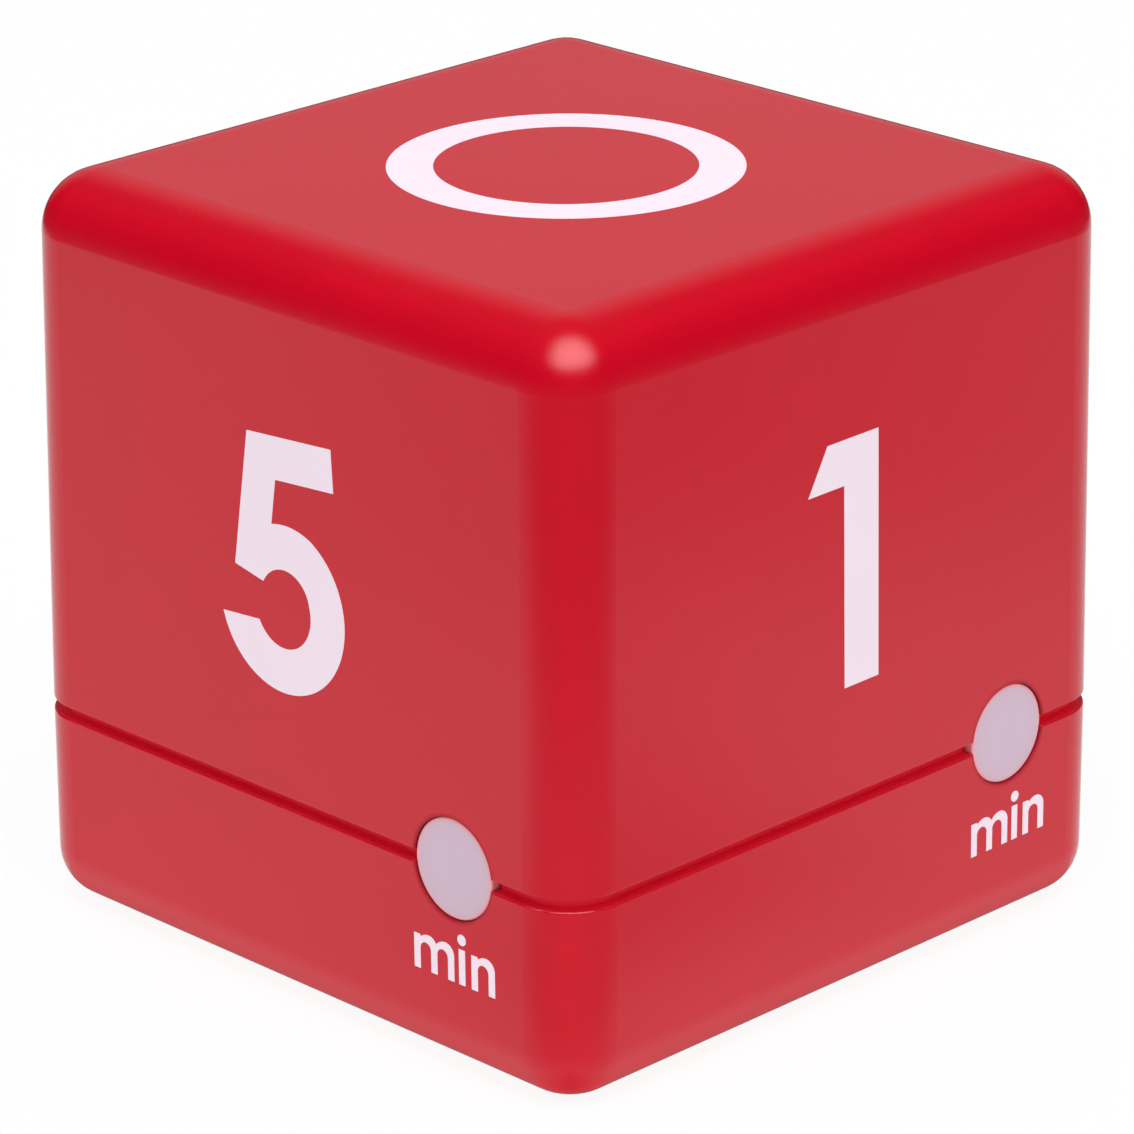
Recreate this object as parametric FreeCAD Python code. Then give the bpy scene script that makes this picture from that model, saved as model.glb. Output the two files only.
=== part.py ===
import FreeCAD, Part
import math
import os

from FreeCAD import Placement, Rotation, Vector

# Cube timer, in millimetres. The origin is at the centre of the underside and
# +Z points up. The face with the figure 1 is the front and looks along -Y,
# the face with the figure 5 is the left one and looks along -X.

# Case: a cube with rounded edges, split a little above its foot
SIDE = 62.0
HEIGHT = 62.0
EDGE_RADIUS = 5.0
FOOT_RADIUS = 4.4
TOP_DRAW_IN = 0.37
WALL = 2.2
RIM = 16.65
RIM_ROUND = 0.18
SKIRT = 17.60
SKIRT_ROUND = 0.13
TONGUE_INSET = 0.95
TONGUE_GAP = 0.05
TONGUE_TOP = 19.0
TONGUE_ROOT = 4.0
HALF = SIDE / 2
INNER = HALF - WALL
TURNS = {"front": 0, "left": -90, "back": 180, "right": 90}

# Fit between parts that are slipped together, and how far a cutter or a
# joined piece reaches past the face that it works on
FIT = 0.1
SINK = 0.2
PAST = 1.0

# Signal light in each side face, at the lower right, seated on the split
LIGHT_ACROSS = 18.5
LIGHT_HEIGHT = 17.2
LENS_RADIUS = 4.11
LENS_HOLE_RADIUS = 4.16
LENS_HOLE_ROUND = 0.1
LENS_HOLE_DEEPER = 1.5
LENS_FACE = HALF - 0.02
LENS_CROWN = 0.15
LENS_EDGE = 0.14
FLANGE_RADIUS = 5.2
FLANGE = 1.2
FLANGE_FACE = INNER - 0.06
SADDLE_HALF = 5.4
SADDLE_FOOT = 9.5
SADDLE_TOP = 14.4
SADDLE_DEPTH = 2.4

# Main board, level with the split
BOARD_HALF = 27.0
BOARD = 1.6
BOARD_FOOT = LIGHT_HEIGHT - BOARD / 2
BOARD_TOP = BOARD_FOOT + BOARD
CORNER_NOTCH = 21.0
LED_NOTCH_HALF = 2.8
LED_NOTCH_END = 21.4
BOARD_POSTS = [(-24.6, -4.6), (24.6, -4.6), (0.0, 24.9)]
POST_RADIUS = 2.2
POST_PILOT_FOOT = 9.0
SCREW_HOLE_RADIUS = 1.1

# Three millimetre light diodes, astride the edges of the board
LED_TIP = 27.2
LED_RADIUS = 1.5
LED_RIM_RADIUS = 1.9
LED_RIM = 1.0
LED_LENGTH = 5.3
LEAD = 0.5
LEAD_REACH = 3.4

# Case screws, driven from below into long bosses of the upper shell
BOSS_PITCH = 24.8
BOSS_RADIUS = 2.6
BOSS_MEET = 14.6
BOSS_RIB = 1.0
BOSS_RIB_FOOT = 20.0
COUNTERBORE_RADIUS = 2.2
SCREW_SEAT = 6.0
CASE_SCREW_HOLE_RADIUS = 1.25

# Screws: radius and depth of the head, radius and length of the shank
CASE_SCREW = (1.9, 1.6, 0.95, 14.0)
BOARD_SCREW = (1.9, 1.4, 0.77, 7.0)
HOLDER_SCREW = (1.8, 1.2, 0.9, 4.0)
PILOT_FIT = 0.03
PILOT_SPARE = 4.0

# Two cells of size AAA, side by side along X, with their ends reversed
CELL_RADIUS = 5.25
CELL_LENGTH = 44.5
NUB_RADIUS = 1.9
NUB = 0.8
CELL_ROWS = (4.15, 15.25)
CELL_HEIGHT = 7.7
BAY_END = 25.3
BAY_Y = (-1.4, 20.8)
BAY_CEILING = 13.2
BAY_ROOF = 14.4
BAY_WALL_Y = (-3.2, 22.6)
BAY_WALL_END = 27.0

# Battery contacts of nickelled strip, and their conical springs
STRIP = 0.4
CONTACT_FOOT = 3.4
CONTACT_TOP = 12.0
CONTACT_HALF = 4.5
DIMPLE = 0.7
DIMPLE_RADIUS = 2.2
DIMPLE_TIP_RADIUS = 1.5
TAB_HALF = 1.0
TAB_TOP = BOARD_TOP + 0.6
TAB_ROWS = {"positive": 4.15, "negative": 12.2}
WIRE = 0.5
SPRING_WIDE = 3.6
SPRING_NARROW = 2.2
SPRING_TURNS = 3.5

# Battery door in the underside, hinged on two short pins at its left end
DOOR_END = 26.2
DOOR_Y = (-2.0, 21.4)
DOOR = 2.0
DOOR_GAP = 0.15
DOOR_ROUND = 1.0
HINGE_X = DOOR / 2 - DOOR_END
HINGE_Z = DOOR / 2
HINGE_PIN_RADIUS = 0.55
HINGE_PIN = 0.6
HINGE_FIT = 0.05
LATCH_Y = 9.7
LATCH_HALF = 5.0
LATCH_LENGTH = 6.5
LATCH_SLOT = 0.8
LATCH_NOSE = 0.9
LATCH_NOSE_TOP = 3.4
LATCH_RECESS = 0.4
LATCH_RECESS_TOP = 4.2
LATCH_DISH_RADIUS = 12.0
LATCH_DISH = 0.8
LATCH_DISH_OFF = 1.5
LATCH_RIDGE_PITCH = 1.3
LATCH_RIDGE_HALF = 0.3
LATCH_RIDGE = 0.4
FOAM = 0.3
FOAM_X = (-18.0, 16.0)
FOAM_Y = (1.0, 18.4)

# Display in the underside
WINDOW_HALF = 13.5
WINDOW_Y = (-21.5, -5.5)
WINDOW_Z = (0.3, 1.4)
WINDOW_ROUND = 1.4
SIGHT_HALF = 12.2
SIGHT_Y = (-20.2, -6.8)
SIGHT_ROUND = 0.8
GLASS = 1.1
GLASS_HALF = 13.5
GLASS_Y = (-22.6, -4.4)
GLASS_LEDGE = 2.4
HOLDER_HALF = 14.4
HOLDER_Y = (-23.6, -3.5)
HOLDER_TOP = 5.6
HOLDER_SCREWS = [(-11.8, -25.4), (11.8, -25.4)]
HOLDER_POST_RADIUS = 1.75
HOLDER_EAR = 1.4
HOLDER_PILOT = 2.8
HOLDER_EAR_HALF = 2.4
HOLDER_EAR_REACH = 2.0
HOLDER_HOOKS = (-9.0, 9.0)
HOLDER_HOOK = 0.8
HOLDER_HOOK_HALF = 1.5
HOLDER_SIGHT_HALF = 11.0
HOLDER_SIGHT_Y = (-17.5, -6.5)
RIBBON_HALF = 8.0
RIBBON = 0.2
RIBBON_BEND = 1.0
RIBBON_CLEAR = 0.6
RIBBON_END = 4.0
RIBBON_BACK = -24.0

# Sound: a magnetic buzzer under the board, over slots in the underside
BUZZER = (21.5, -12.5)
BUZZER_RADIUS = 6.0
BUZZER_FOOT = 8.0
BUZZER_WALL = 0.8
BUZZER_BASE = 1.0
BUZZER_COLLAR = 0.8
BUZZER_HOLE_RADIUS = 1.3
BUZZER_PINS = (-3.25, 3.25)
BUZZER_PIN_RADIUS = 0.3
DISC_SEAT = 1.6
DISC_RADIUS = 5.0
DISC = 0.15
DISC_WEIGHT_RADIUS = 1.6
DISC_WEIGHT_TOP = 2.1
BOBBIN_FOOT = 3.0
BOBBIN_RADIUS = 3.4
BOBBIN_FLANGE = 0.4
WINDING_RADIUS = 2.9
CORE_FOOT = 2.5
CORE_RADIUS = 1.1
SLOT_PITCH = 2.0
SLOT_WIDTH = 1.1
SLOT_REACH = 4.8
SLOT_FLAT = 0.01

# Volume switch under the board, worked by a slider in the underside
SLIDER_X = -19.5
SLIDER_Y = -12.5
SLIDER_TRAVEL = 2.0
KNOB_HALF = 1.5
KNOB_FOOT = 0.3
SLIDER_PLATE_Z = (2.35, 3.35)
SLIDER_PLATE_HALF = (3.2, 4.6)
SLIDER_GUIDE = 1.0
SLIDER_CLEAR = 0.2
KNOB_GROOVES = (-1.0, 0.0, 1.0)
KNOB_GROOVE_HALF = 0.2
KNOB_GROOVE = 0.35
STEM_HALF = (1.2, 1.7)
FORK_FOOT = 9.5
FORK_TOP = 11.6
LEVER_HALF = 0.75
LEVER_HEAD_HALF = (1.35, 1.7)
SWITCH_Y = SLIDER_Y + SLIDER_TRAVEL / 2
SWITCH_HALF = (1.85, 4.3)
SWITCH_FOOT = 12.9
SWITCH_SHEET = 0.3

# Four ball switches on the board, one towards each side face
TILT_ANGLE = 15.0
TILT_REACH = 17.0
TILT_RADIUS = 2.3
TILT_BORE = 1.75
TILT_LENGTH = 7.0
TILT_END = 0.4
TILT_PLUG = 1.0
TILT_FOOT_HALF = 1.7
TILT_NECK_RADIUS = 1.2
BALL_RADIUS = 1.5
BALL_CLEAR = 0.05

# Small parts on top of the board
CHIP_REACH = 6.0
CHIP_RISE = 1.6
CRYSTAL_AT = (7.0, -9.0)
CRYSTAL_RADIUS = 1.0
CRYSTAL_LENGTH = 6.0
CAPACITOR_AT = (-10.0, 10.0)
CAPACITOR_RADIUS = 2.5
CAPACITOR_LENGTH = 7.0
RESISTORS_AT = (9.0, 9.0)
RESISTOR_PITCH = (2.6, 2.2)
RESISTOR_HALF = (0.8, 0.4)
RESISTOR = 0.5

UP = Vector(0, 0, 1)


def block(x, y, z):
    """Box between two values on each axis."""
    return Part.makeBox(x[1] - x[0], y[1] - y[0], z[1] - z[0], Vector(x[0], y[0], z[0]))


def about(middle, half):
    """Two values, equally far from a middle one."""
    return (middle - half, middle + half)


def upright_edges(shape):
    """Edges of a shape that run mostly along Z."""
    chosen = []
    for edge in shape.Edges:
        first = edge.Vertexes[0].Point
        last = edge.Vertexes[-1].Point
        if abs(first.z - last.z) > math.hypot(first.x - last.x, first.y - last.y):
            chosen.append(edge)
    return chosen


def edges_at(shape, height):
    """Edges of a shape that lie in one level plane."""
    return [edge for edge in shape.Edges
            if abs(edge.BoundBox.ZMin - height) < 1e-4 and abs(edge.BoundBox.ZMax - height) < 1e-4]


def rounded_block(x, y, z, radius):
    """Box whose four upright edges are rounded."""
    shape = block(x, y, z)
    return shape.makeFillet(radius, upright_edges(shape))


def rod(radius, start, end):
    """Round bar from one point to another."""
    way = Vector(*end) - Vector(*start)
    return Part.makeCylinder(radius, way.Length, Vector(*start), way)


def turned(outline):
    """Solid of revolution about Z, from points of radius and height."""
    points = [Vector(radius, 0, height) for radius, height in outline]
    face = Part.Face(Part.makePolygon(points + [points[0]]))
    return face.revolve(Vector(0, 0, 0), UP, 360)


def aimed(shape, start, along):
    """Shape made about Z, laid along another axis from a start point."""
    moved = shape.copy()
    moved.Placement = Placement(Vector(*start), Rotation(UP, Vector(*along)))
    return moved


def to_side(shape, side):
    """Shape made for the front face, turned to one of the four side faces."""
    moved = shape.copy()
    moved.rotate(Vector(0, 0, 0), UP, TURNS[side])
    return moved


def joined(shapes):
    """One solid out of several that touch or overlap."""
    return shapes[0].multiFuse(shapes[1:]).removeSplitter()


def save(name, shape):
    """Writes one node of the assembly."""
    solids = shape.Solids
    shape = solids[0] if len(solids) == 1 else Part.makeCompound(solids)
    if not shape.isValid():
        raise RuntimeError(name + " is not a valid solid")
    shape.exportStep("parts/" + name + ".step")


def corners(distance):
    """Places of four things, each this far from the middle along X and along Y."""
    return [(a * distance, b * distance) for a, b in ((-1, -1), (1, -1), (1, 1), (-1, 1))]


def half_width(height):
    """Half the width of the upper shell, which leans in towards the top."""
    return HALF - TOP_DRAW_IN * (height - SKIRT) / (HEIGHT - SKIRT)


def drafted_block(inset, foot, top, radius):
    """Block with the lean of the upper shell and rounded upright and top edges."""
    low = half_width(foot) - inset
    high = half_width(top) - inset
    shape = Part.makeWedge(-low, foot, -low, -high, -high, low, top, low, high, high)
    shape.rotate(Vector(0, 0, 0), Vector(1, 0, 0), 90)
    sharp = edges_at(shape, foot)
    rounded = [edge for edge in shape.Edges if not any(edge.isSame(other) for other in sharp)]
    return shape.makeFillet(radius, rounded)


def lens_hole():
    """Cutter for the hole of the front lens, which opens out in a rounded edge."""
    depth = WALL + LENS_HOLE_DEEPER
    lip = LENS_HOLE_ROUND
    rim = []
    for step in range(7):
        angle = math.radians(90 * step / 6)
        rim.append((LENS_HOLE_RADIUS + lip - lip * math.cos(angle), depth - lip + lip * math.sin(angle)))
    wide = LENS_HOLE_RADIUS + lip
    outline = [(0, 0), (LENS_HOLE_RADIUS, 0)] + rim + [(wide, depth + PAST), (0, depth + PAST)]
    return aimed(turned(outline), (LIGHT_ACROSS, depth - HALF, LIGHT_HEIGHT), (0, -1, 0))


def lens_holes():
    return [to_side(lens_hole(), side) for side in TURNS]


def upper_shell():
    """Upper part of the case, with its four long screw bosses."""
    shell = drafted_block(0, SKIRT, HEIGHT, EDGE_RADIUS)
    shell = shell.makeFillet(SKIRT_ROUND, edges_at(shell, SKIRT))
    shell = shell.cut(drafted_block(WALL, SKIRT - PAST, HEIGHT - WALL, EDGE_RADIUS - WALL))
    rebate = TONGUE_INSET - TONGUE_GAP
    mouth = about(0, HALF - rebate)
    shell = shell.cut(rounded_block(mouth, mouth, (SKIRT - PAST, TONGUE_TOP), EDGE_RADIUS - rebate))
    roof = HEIGHT - WALL + SINK
    pilot_radius = CASE_SCREW[2] + PILOT_FIT
    pilot_end = SCREW_SEAT + CASE_SCREW[3] + PILOT_SPARE
    for x, y in corners(BOSS_PITCH):
        boss = rod(BOSS_RADIUS, (x, y, BOSS_MEET), (x, y, roof))
        to_wall = sorted((x, math.copysign(INNER + SINK, x)))
        ribs = block(to_wall, about(y, BOSS_RIB / 2), (BOSS_RIB_FOOT, roof))
        to_wall = sorted((y, math.copysign(INNER + SINK, y)))
        ribs = ribs.fuse(block(about(x, BOSS_RIB / 2), to_wall, (BOSS_RIB_FOOT, roof)))
        pilot = rod(pilot_radius, (x, y, BOSS_MEET - PAST), (x, y, pilot_end))
        shell = shell.fuse([boss, ribs]).cut(pilot)
    return shell.cut(lens_holes()).removeSplitter()


def case_tub():
    """Outer walls, floor and tongue of the lower shell."""
    wide = about(0, HALF)
    tub = rounded_block(wide, wide, (0, RIM), EDGE_RADIUS)
    tub = tub.makeFillet(FOOT_RADIUS, edges_at(tub, 0))
    tub = tub.makeFillet(RIM_ROUND, edges_at(tub, RIM))
    middle = about(0, HALF - TONGUE_INSET)
    tongue = rounded_block(middle, middle, (RIM - TONGUE_ROOT, TONGUE_TOP), EDGE_RADIUS - TONGUE_INSET)
    narrow = about(0, INNER)
    hollow = rounded_block(narrow, narrow, (WALL, TONGUE_TOP + PAST), EDGE_RADIUS - WALL)
    hollow = hollow.makeFillet(FOOT_RADIUS - WALL, edges_at(hollow, WALL))
    return tub.fuse(tongue).cut(hollow)


def lens_saddle():
    """Cradle that holds the flange of the front lens from behind."""
    y = (-INNER - SINK, -INNER + SADDLE_DEPTH)
    saddle = block(about(LIGHT_ACROSS, SADDLE_HALF), y, (SADDLE_FOOT, SADDLE_TOP))
    pocket_end = (LIGHT_ACROSS, FLANGE - FLANGE_FACE + FIT / 2, LIGHT_HEIGHT)
    saddle = saddle.cut(rod(FLANGE_RADIUS + FIT / 2, (LIGHT_ACROSS, -HALF, LIGHT_HEIGHT), pocket_end))
    back = (LIGHT_ACROSS, y[1] + PAST, LIGHT_HEIGHT)
    return saddle.cut(rod(LENS_HOLE_RADIUS, (LIGHT_ACROSS, -HALF, LIGHT_HEIGHT), back))


def battery_bay():
    """Walls and roof of the battery bay."""
    bay = block(about(0, BAY_WALL_END), BAY_WALL_Y, (WALL / 2, BAY_ROOF))
    return bay.cut(block(about(0, BAY_END), BAY_Y, (0, BAY_CEILING)))


def hinge_pin(radius, beyond):
    """Round bar on the door's hinge line, reaching a little past its two sides."""
    start = (HINGE_X, DOOR_Y[0] - beyond, HINGE_Z)
    return rod(radius, start, (HINGE_X, DOOR_Y[1] + beyond, HINGE_Z))


def door_plate(first, gap, z):
    """Plate with square corners at its hinged end and round ones at the other."""
    plate = block((first, DOOR_END + gap), (DOOR_Y[0] - gap, DOOR_Y[1] + gap), z)
    free = [edge for edge in upright_edges(plate) if edge.BoundBox.XMin > 0]
    return plate.makeFillet(DOOR_ROUND + gap, free)


def bay_cuts():
    """Openings for the door, its pins and latch, and the contact tabs."""
    seat = DOOR + FIT / 2
    cuts = [door_plate(-DOOR_END - DOOR_GAP, DOOR_GAP, (-PAST, seat)),
            hinge_pin(HINGE_PIN_RADIUS + HINGE_FIT, HINGE_PIN + DOOR_GAP),
            block(about(0, BAY_END), BAY_Y, (-PAST, BAY_CEILING))]
    cuts.append(block((BAY_END - FIT, DOOR_END + LATCH_RECESS), about(LATCH_Y, LATCH_HALF + SINK),
                      (seat, LATCH_RECESS_TOP)))
    for row in TAB_ROWS.values():
        cuts.append(block((BAY_END - STRIP - FIT, BAY_END + FIT), about(row, TAB_HALF + FIT),
                          (BAY_CEILING - PAST, BAY_ROOF + PAST)))
    return cuts


def display_cuts():
    """Seat of the window, and the hole that the display is read through."""
    seat = rounded_block(about(0, WINDOW_HALF + FIT), (WINDOW_Y[0] - FIT, WINDOW_Y[1] + FIT),
                         (-PAST, WINDOW_Z[1]), WINDOW_ROUND + FIT)
    return [seat, rounded_block(about(0, SIGHT_HALF), SIGHT_Y, (0, WALL + PAST), SIGHT_ROUND)]


def sound_slots():
    """Five slots of unlike length that fill a circle."""
    slots = []
    for step in range(-2, 3):
        across = step * SLOT_PITCH
        reach = math.sqrt(SLOT_REACH ** 2 - across ** 2)
        slots.append(rounded_block(about(BUZZER[0] + across, SLOT_WIDTH / 2), about(BUZZER[1], reach),
                                   (-PAST, WALL + PAST), SLOT_WIDTH / 2 - SLOT_FLAT))
    return slots


def slider_guides():
    """Two ribs on the floor, one each side of the slider's plate."""
    ribs = []
    for side in (-1, 1):
        near = SLIDER_X + side * (SLIDER_PLATE_HALF[0] + SLIDER_CLEAR)
        x = sorted((near, near + side * SLIDER_GUIDE))
        y = (SLIDER_Y - SLIDER_PLATE_HALF[1], SLIDER_Y + SLIDER_PLATE_HALF[1] + SLIDER_TRAVEL)
        ribs.append(block(x, y, (WALL - SINK, SLIDER_PLATE_Z[1] + SLIDER_GUIDE)))
    return ribs


def slider_slot():
    """Slot in the floor for the slider's knob."""
    half = KNOB_HALF + SLIDER_CLEAR
    y = (SLIDER_Y - half, SLIDER_Y + half + SLIDER_TRAVEL)
    return block(about(SLIDER_X, half), y, (-PAST, WALL + PAST))


def lower_shell():
    """Lower part of the case, with the battery bay and every seat inside it."""
    fitted = [battery_bay()]
    fitted += [to_side(lens_saddle(), side) for side in TURNS]
    fitted += [rod(BOSS_RADIUS, (x, y, WALL / 2), (x, y, BOSS_MEET)) for x, y in corners(BOSS_PITCH)]
    fitted += [rod(POST_RADIUS, (x, y, WALL / 2), (x, y, BOARD_FOOT)) for x, y in BOARD_POSTS]
    post_top = HOLDER_TOP - HOLDER_EAR
    fitted += [rod(HOLDER_POST_RADIUS, (x, y, WALL / 2), (x, y, post_top)) for x, y in HOLDER_SCREWS]
    hook_y = (HOLDER_Y[1] - HOLDER_HOOK, BAY_WALL_Y[0] + SINK)
    fitted += [block(about(x, HOLDER_HOOK_HALF), hook_y, (HOLDER_TOP, HOLDER_TOP + HOLDER_HOOK))
               for x in HOLDER_HOOKS]
    x, y = BUZZER
    collar_top = BUZZER_FOOT + BUZZER_COLLAR
    collar = rod(BUZZER_RADIUS + BUZZER_COLLAR, (x, y, WALL / 2), (x, y, collar_top))
    fitted.append(collar.cut(rod(BUZZER_RADIUS + FIT, (x, y, 0), (x, y, collar_top + PAST))))
    fitted += slider_guides()
    shell = case_tub().fuse(fitted)
    cuts = bay_cuts() + display_cuts() + sound_slots() + [slider_slot()] + lens_holes()
    for x, y in corners(BOSS_PITCH):
        cuts.append(rod(COUNTERBORE_RADIUS, (x, y, -PAST), (x, y, SCREW_SEAT)))
        cuts.append(rod(CASE_SCREW_HOLE_RADIUS, (x, y, 0), (x, y, BOSS_MEET + PAST)))
    radius = BOARD_SCREW[2] + PILOT_FIT
    cuts += [rod(radius, (x, y, POST_PILOT_FOOT), (x, y, BOARD_FOOT + PAST)) for x, y in BOARD_POSTS]
    radius = HOLDER_SCREW[2] + PILOT_FIT
    pilot_foot = post_top - HOLDER_PILOT
    cuts += [rod(radius, (x, y, pilot_foot), (x, y, HOLDER_TOP)) for x, y in HOLDER_SCREWS]
    return shell.cut(cuts).removeSplitter()


def light_lens():
    """Front lens: a crowned disc with a flange behind the wall."""
    length = LENS_FACE - FLANGE_FACE + FLANGE
    crown = length - LENS_CROWN
    rim = []
    for step in range(5):
        angle = math.radians(90 * step / 4)
        rim.append((LENS_RADIUS - LENS_EDGE + LENS_EDGE * math.cos(angle),
                    crown - LENS_EDGE + LENS_EDGE * math.sin(angle)))
    flat = LENS_RADIUS - LENS_EDGE
    outline = [(0, 0), (FLANGE_RADIUS, 0), (FLANGE_RADIUS, FLANGE), (LENS_RADIUS, FLANGE)] + rim
    body = turned(outline + [(0, crown)])
    ball_radius = (flat ** 2 + LENS_CROWN ** 2) / (2 * LENS_CROWN)
    # The ball's own axis lies across, so neither its poles nor its seam come on the crown
    cap = Part.makeSphere(ball_radius, Vector(0, 0, length - ball_radius), Vector(-1, 0, 0))
    cap = cap.common(rod(flat, (0, 0, crown - SINK), (0, 0, length + PAST)))
    lens = joined([body, cap])
    return aimed(lens, (LIGHT_ACROSS, FLANGE - FLANGE_FACE, LIGHT_HEIGHT), (0, -1, 0))


def light_diode():
    """Front light diode, with its two legs astride the board."""
    body = rod(LED_RADIUS, (0, 0, 0), (0, 0, LED_LENGTH - LED_RADIUS))
    dome = Part.makeSphere(LED_RADIUS, Vector(0, 0, LED_LENGTH - LED_RADIUS))
    rim = rod(LED_RIM_RADIUS, (0, 0, 0), (0, 0, LED_RIM))
    pieces = [body, dome, rim]
    for side in (-1, 1):
        middle = side * (BOARD / 2 + LEAD / 2)
        pieces.append(block(about(0, LEAD / 2), about(middle, LEAD / 2), (-LEAD_REACH, SINK)))
    return aimed(joined(pieces), (LIGHT_ACROSS, LED_LENGTH - LED_TIP, LIGHT_HEIGHT), (0, -1, 0))


def main_board():
    """Circuit board, notched for the bosses and for the light diodes."""
    board = block(about(0, BOARD_HALF), about(0, BOARD_HALF), (BOARD_FOOT, BOARD_TOP))
    thick = (BOARD_FOOT - PAST, BOARD_TOP + PAST)
    outside = BOARD_HALF + PAST
    notch = block(about(LIGHT_ACROSS, LED_NOTCH_HALF), (-outside, -LED_NOTCH_END), thick)
    cuts = [to_side(notch, side) for side in TURNS]
    for a, b in corners(1):
        x = sorted((a * CORNER_NOTCH, a * outside))
        y = sorted((b * CORNER_NOTCH, b * outside))
        cuts.append(block(x, y, thick))
    for row in TAB_ROWS.values():
        cuts.append(block((BAY_END - STRIP - FIT, BAY_END + FIT), about(row, TAB_HALF + FIT), thick))
    cuts += [rod(SCREW_HOLE_RADIUS, (x, y, thick[0]), (x, y, thick[1])) for x, y in BOARD_POSTS]
    x, y = BUZZER
    radius = BUZZER_PIN_RADIUS + FIT
    cuts += [rod(radius, (x + pin, y, thick[0]), (x + pin, y, thick[1])) for pin in BUZZER_PINS]
    return board.cut(cuts)


def screw(head_radius, head, shank_radius, length):
    """Pan-head screw with a cross recess, head down and point up."""
    chamfer = head * 0.35
    outline = [(0, 0), (head_radius - chamfer, 0), (head_radius, chamfer), (head_radius, head),
               (shank_radius, head), (shank_radius, head + length - shank_radius), (0, head + length)]
    body = turned(outline)
    arm = head_radius * 0.55
    slot = head_radius * 0.14
    for x, y in ((arm, slot), (slot, arm)):
        body = body.cut(block(about(0, x), about(0, y), (-PAST, head * 0.6)))
    return body


def screws_at(places, seat, upwards, sizes):
    """A set of like screws, with their heads seated at one height."""
    head_radius, head, shank_radius, length = sizes
    made = []
    for x, y in places:
        start = seat - head if upwards else seat + head
        made.append(aimed(screw(head_radius, head, shank_radius, length), (x, y, start),
                          (0, 0, 1 if upwards else -1)))
    return Part.makeCompound(made)


def battery_cell(row, forwards):
    """Cell with rounded shoulders and its positive nub, forwards or reversed along X."""
    edge = 0.5
    body_length = CELL_LENGTH - NUB
    rim = CELL_RADIUS - edge
    outline = [(0, 0.2), (rim - 0.6, 0.2), (rim - 0.3, 0), (rim, 0), (CELL_RADIUS - 0.15, 0.15),
               (CELL_RADIUS, edge), (CELL_RADIUS, body_length - edge),
               (CELL_RADIUS - 0.15, body_length - 0.15), (rim, body_length),
               (rim - 0.3, body_length - 0.2), (NUB_RADIUS + 0.9, body_length - 0.4),
               (NUB_RADIUS, body_length - 0.4), (NUB_RADIUS, CELL_LENGTH - 0.2),
               (NUB_RADIUS - 0.2, CELL_LENGTH), (0, CELL_LENGTH)]
    way = 1 if forwards else -1
    tip = BAY_END - STRIP - DIMPLE
    return aimed(turned(outline), (way * (tip - CELL_LENGTH), row, CELL_HEIGHT), (way, 0, 0))


def dimple(row, way):
    """Pressed bump that meets a cell's nub."""
    rise = DIMPLE + STRIP / 2
    outline = [(0, 0), (DIMPLE_RADIUS, 0), (DIMPLE_TIP_RADIUS, rise), (0, rise)]
    return aimed(turned(outline), (way * (BAY_END - STRIP / 2), row, CELL_HEIGHT), (-way, 0, 0))


def contact_strip(y, way):
    """Flat strip against one end wall of the bay."""
    x = sorted((way * (BAY_END - STRIP), way * BAY_END))
    return block(x, y, (CONTACT_FOOT, CONTACT_TOP))


def contact_tab(row):
    """Tab that rises from a contact through the bay's roof into the board."""
    return block((BAY_END - STRIP, BAY_END), about(row, TAB_HALF), (CONTACT_TOP - PAST, TAB_TOP))


def contact_positive():
    row = CELL_ROWS[0]
    strip = contact_strip(about(row, CONTACT_HALF), 1)
    return joined([strip, dimple(row, 1), contact_tab(TAB_ROWS["positive"])])


def contact_negative():
    strip = contact_strip(about(CELL_ROWS[1], CONTACT_HALF), 1)
    return joined([strip, contact_tab(TAB_ROWS["negative"])])


def contact_link():
    y = (CELL_ROWS[0] - CONTACT_HALF, CELL_ROWS[1] + CONTACT_HALF)
    return joined([contact_strip(y, -1), dimple(CELL_ROWS[1], -1)])


def spring_point(turn, length):
    """Centre of the wire after a number of turns of the conical spring."""
    share = turn / SPRING_TURNS
    radius = SPRING_WIDE + (SPRING_NARROW - SPRING_WIDE) * share
    angle = 2 * math.pi * turn
    rise = WIRE / 2 + (length - WIRE) * share
    return Vector(radius * math.cos(angle), radius * math.sin(angle), rise)


def spring_heading(turn, length):
    """Direction of the wire after a number of turns."""
    step = 1e-4
    ahead = spring_point(turn + step, length) - spring_point(turn - step, length)
    return ahead.normalize()


def arc_from(start, corner, end):
    """Arc that leaves start towards corner and comes to end from corner."""
    middle = (start + end) * 0.5
    chord = end - start
    angle = chord.getAngle(corner - start)
    share = math.tan(angle / 2) / math.tan(angle)
    return Part.Arc(start, middle + (corner - middle) * share, end).toShape()


def spring_arcs(first, last, length):
    """Pair of arcs along a quarter turn that keeps the headings at both its ends."""
    start = spring_point(first, length)
    end = spring_point(last, length)
    leave = spring_heading(first, length)
    arrive = spring_heading(last, length)
    chord = end - start
    turn = 2 * (1 - leave.dot(arrive))
    along = chord.dot(leave + arrive)
    reach = (math.sqrt(along ** 2 + turn * chord.dot(chord)) - along) / turn
    corner = start + leave * reach
    other = end - arrive * reach
    meet = (corner + other) * 0.5
    return [arc_from(start, corner, meet), arc_from(meet, other, end)]


def battery_spring(row, way):
    """Conical spring of one unbroken wire, between a strip and a cell's flat end."""
    length = 2 * (BAY_END - STRIP) - DIMPLE - CELL_LENGTH
    quarters = round(SPRING_TURNS * 4)
    edges = []
    for quarter in range(quarters):
        edges += spring_arcs(quarter / 4, (quarter + 1) / 4, length)
    path = Part.Wire(edges)
    ring = Part.Circle(spring_point(0, length), spring_heading(0, length), WIRE / 2)
    wire = path.makePipeShell([Part.Wire(ring.toShape())], True, False)
    return aimed(wire, (way * (BAY_END - STRIP), row, CELL_HEIGHT), (-way, 0, 0))


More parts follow.
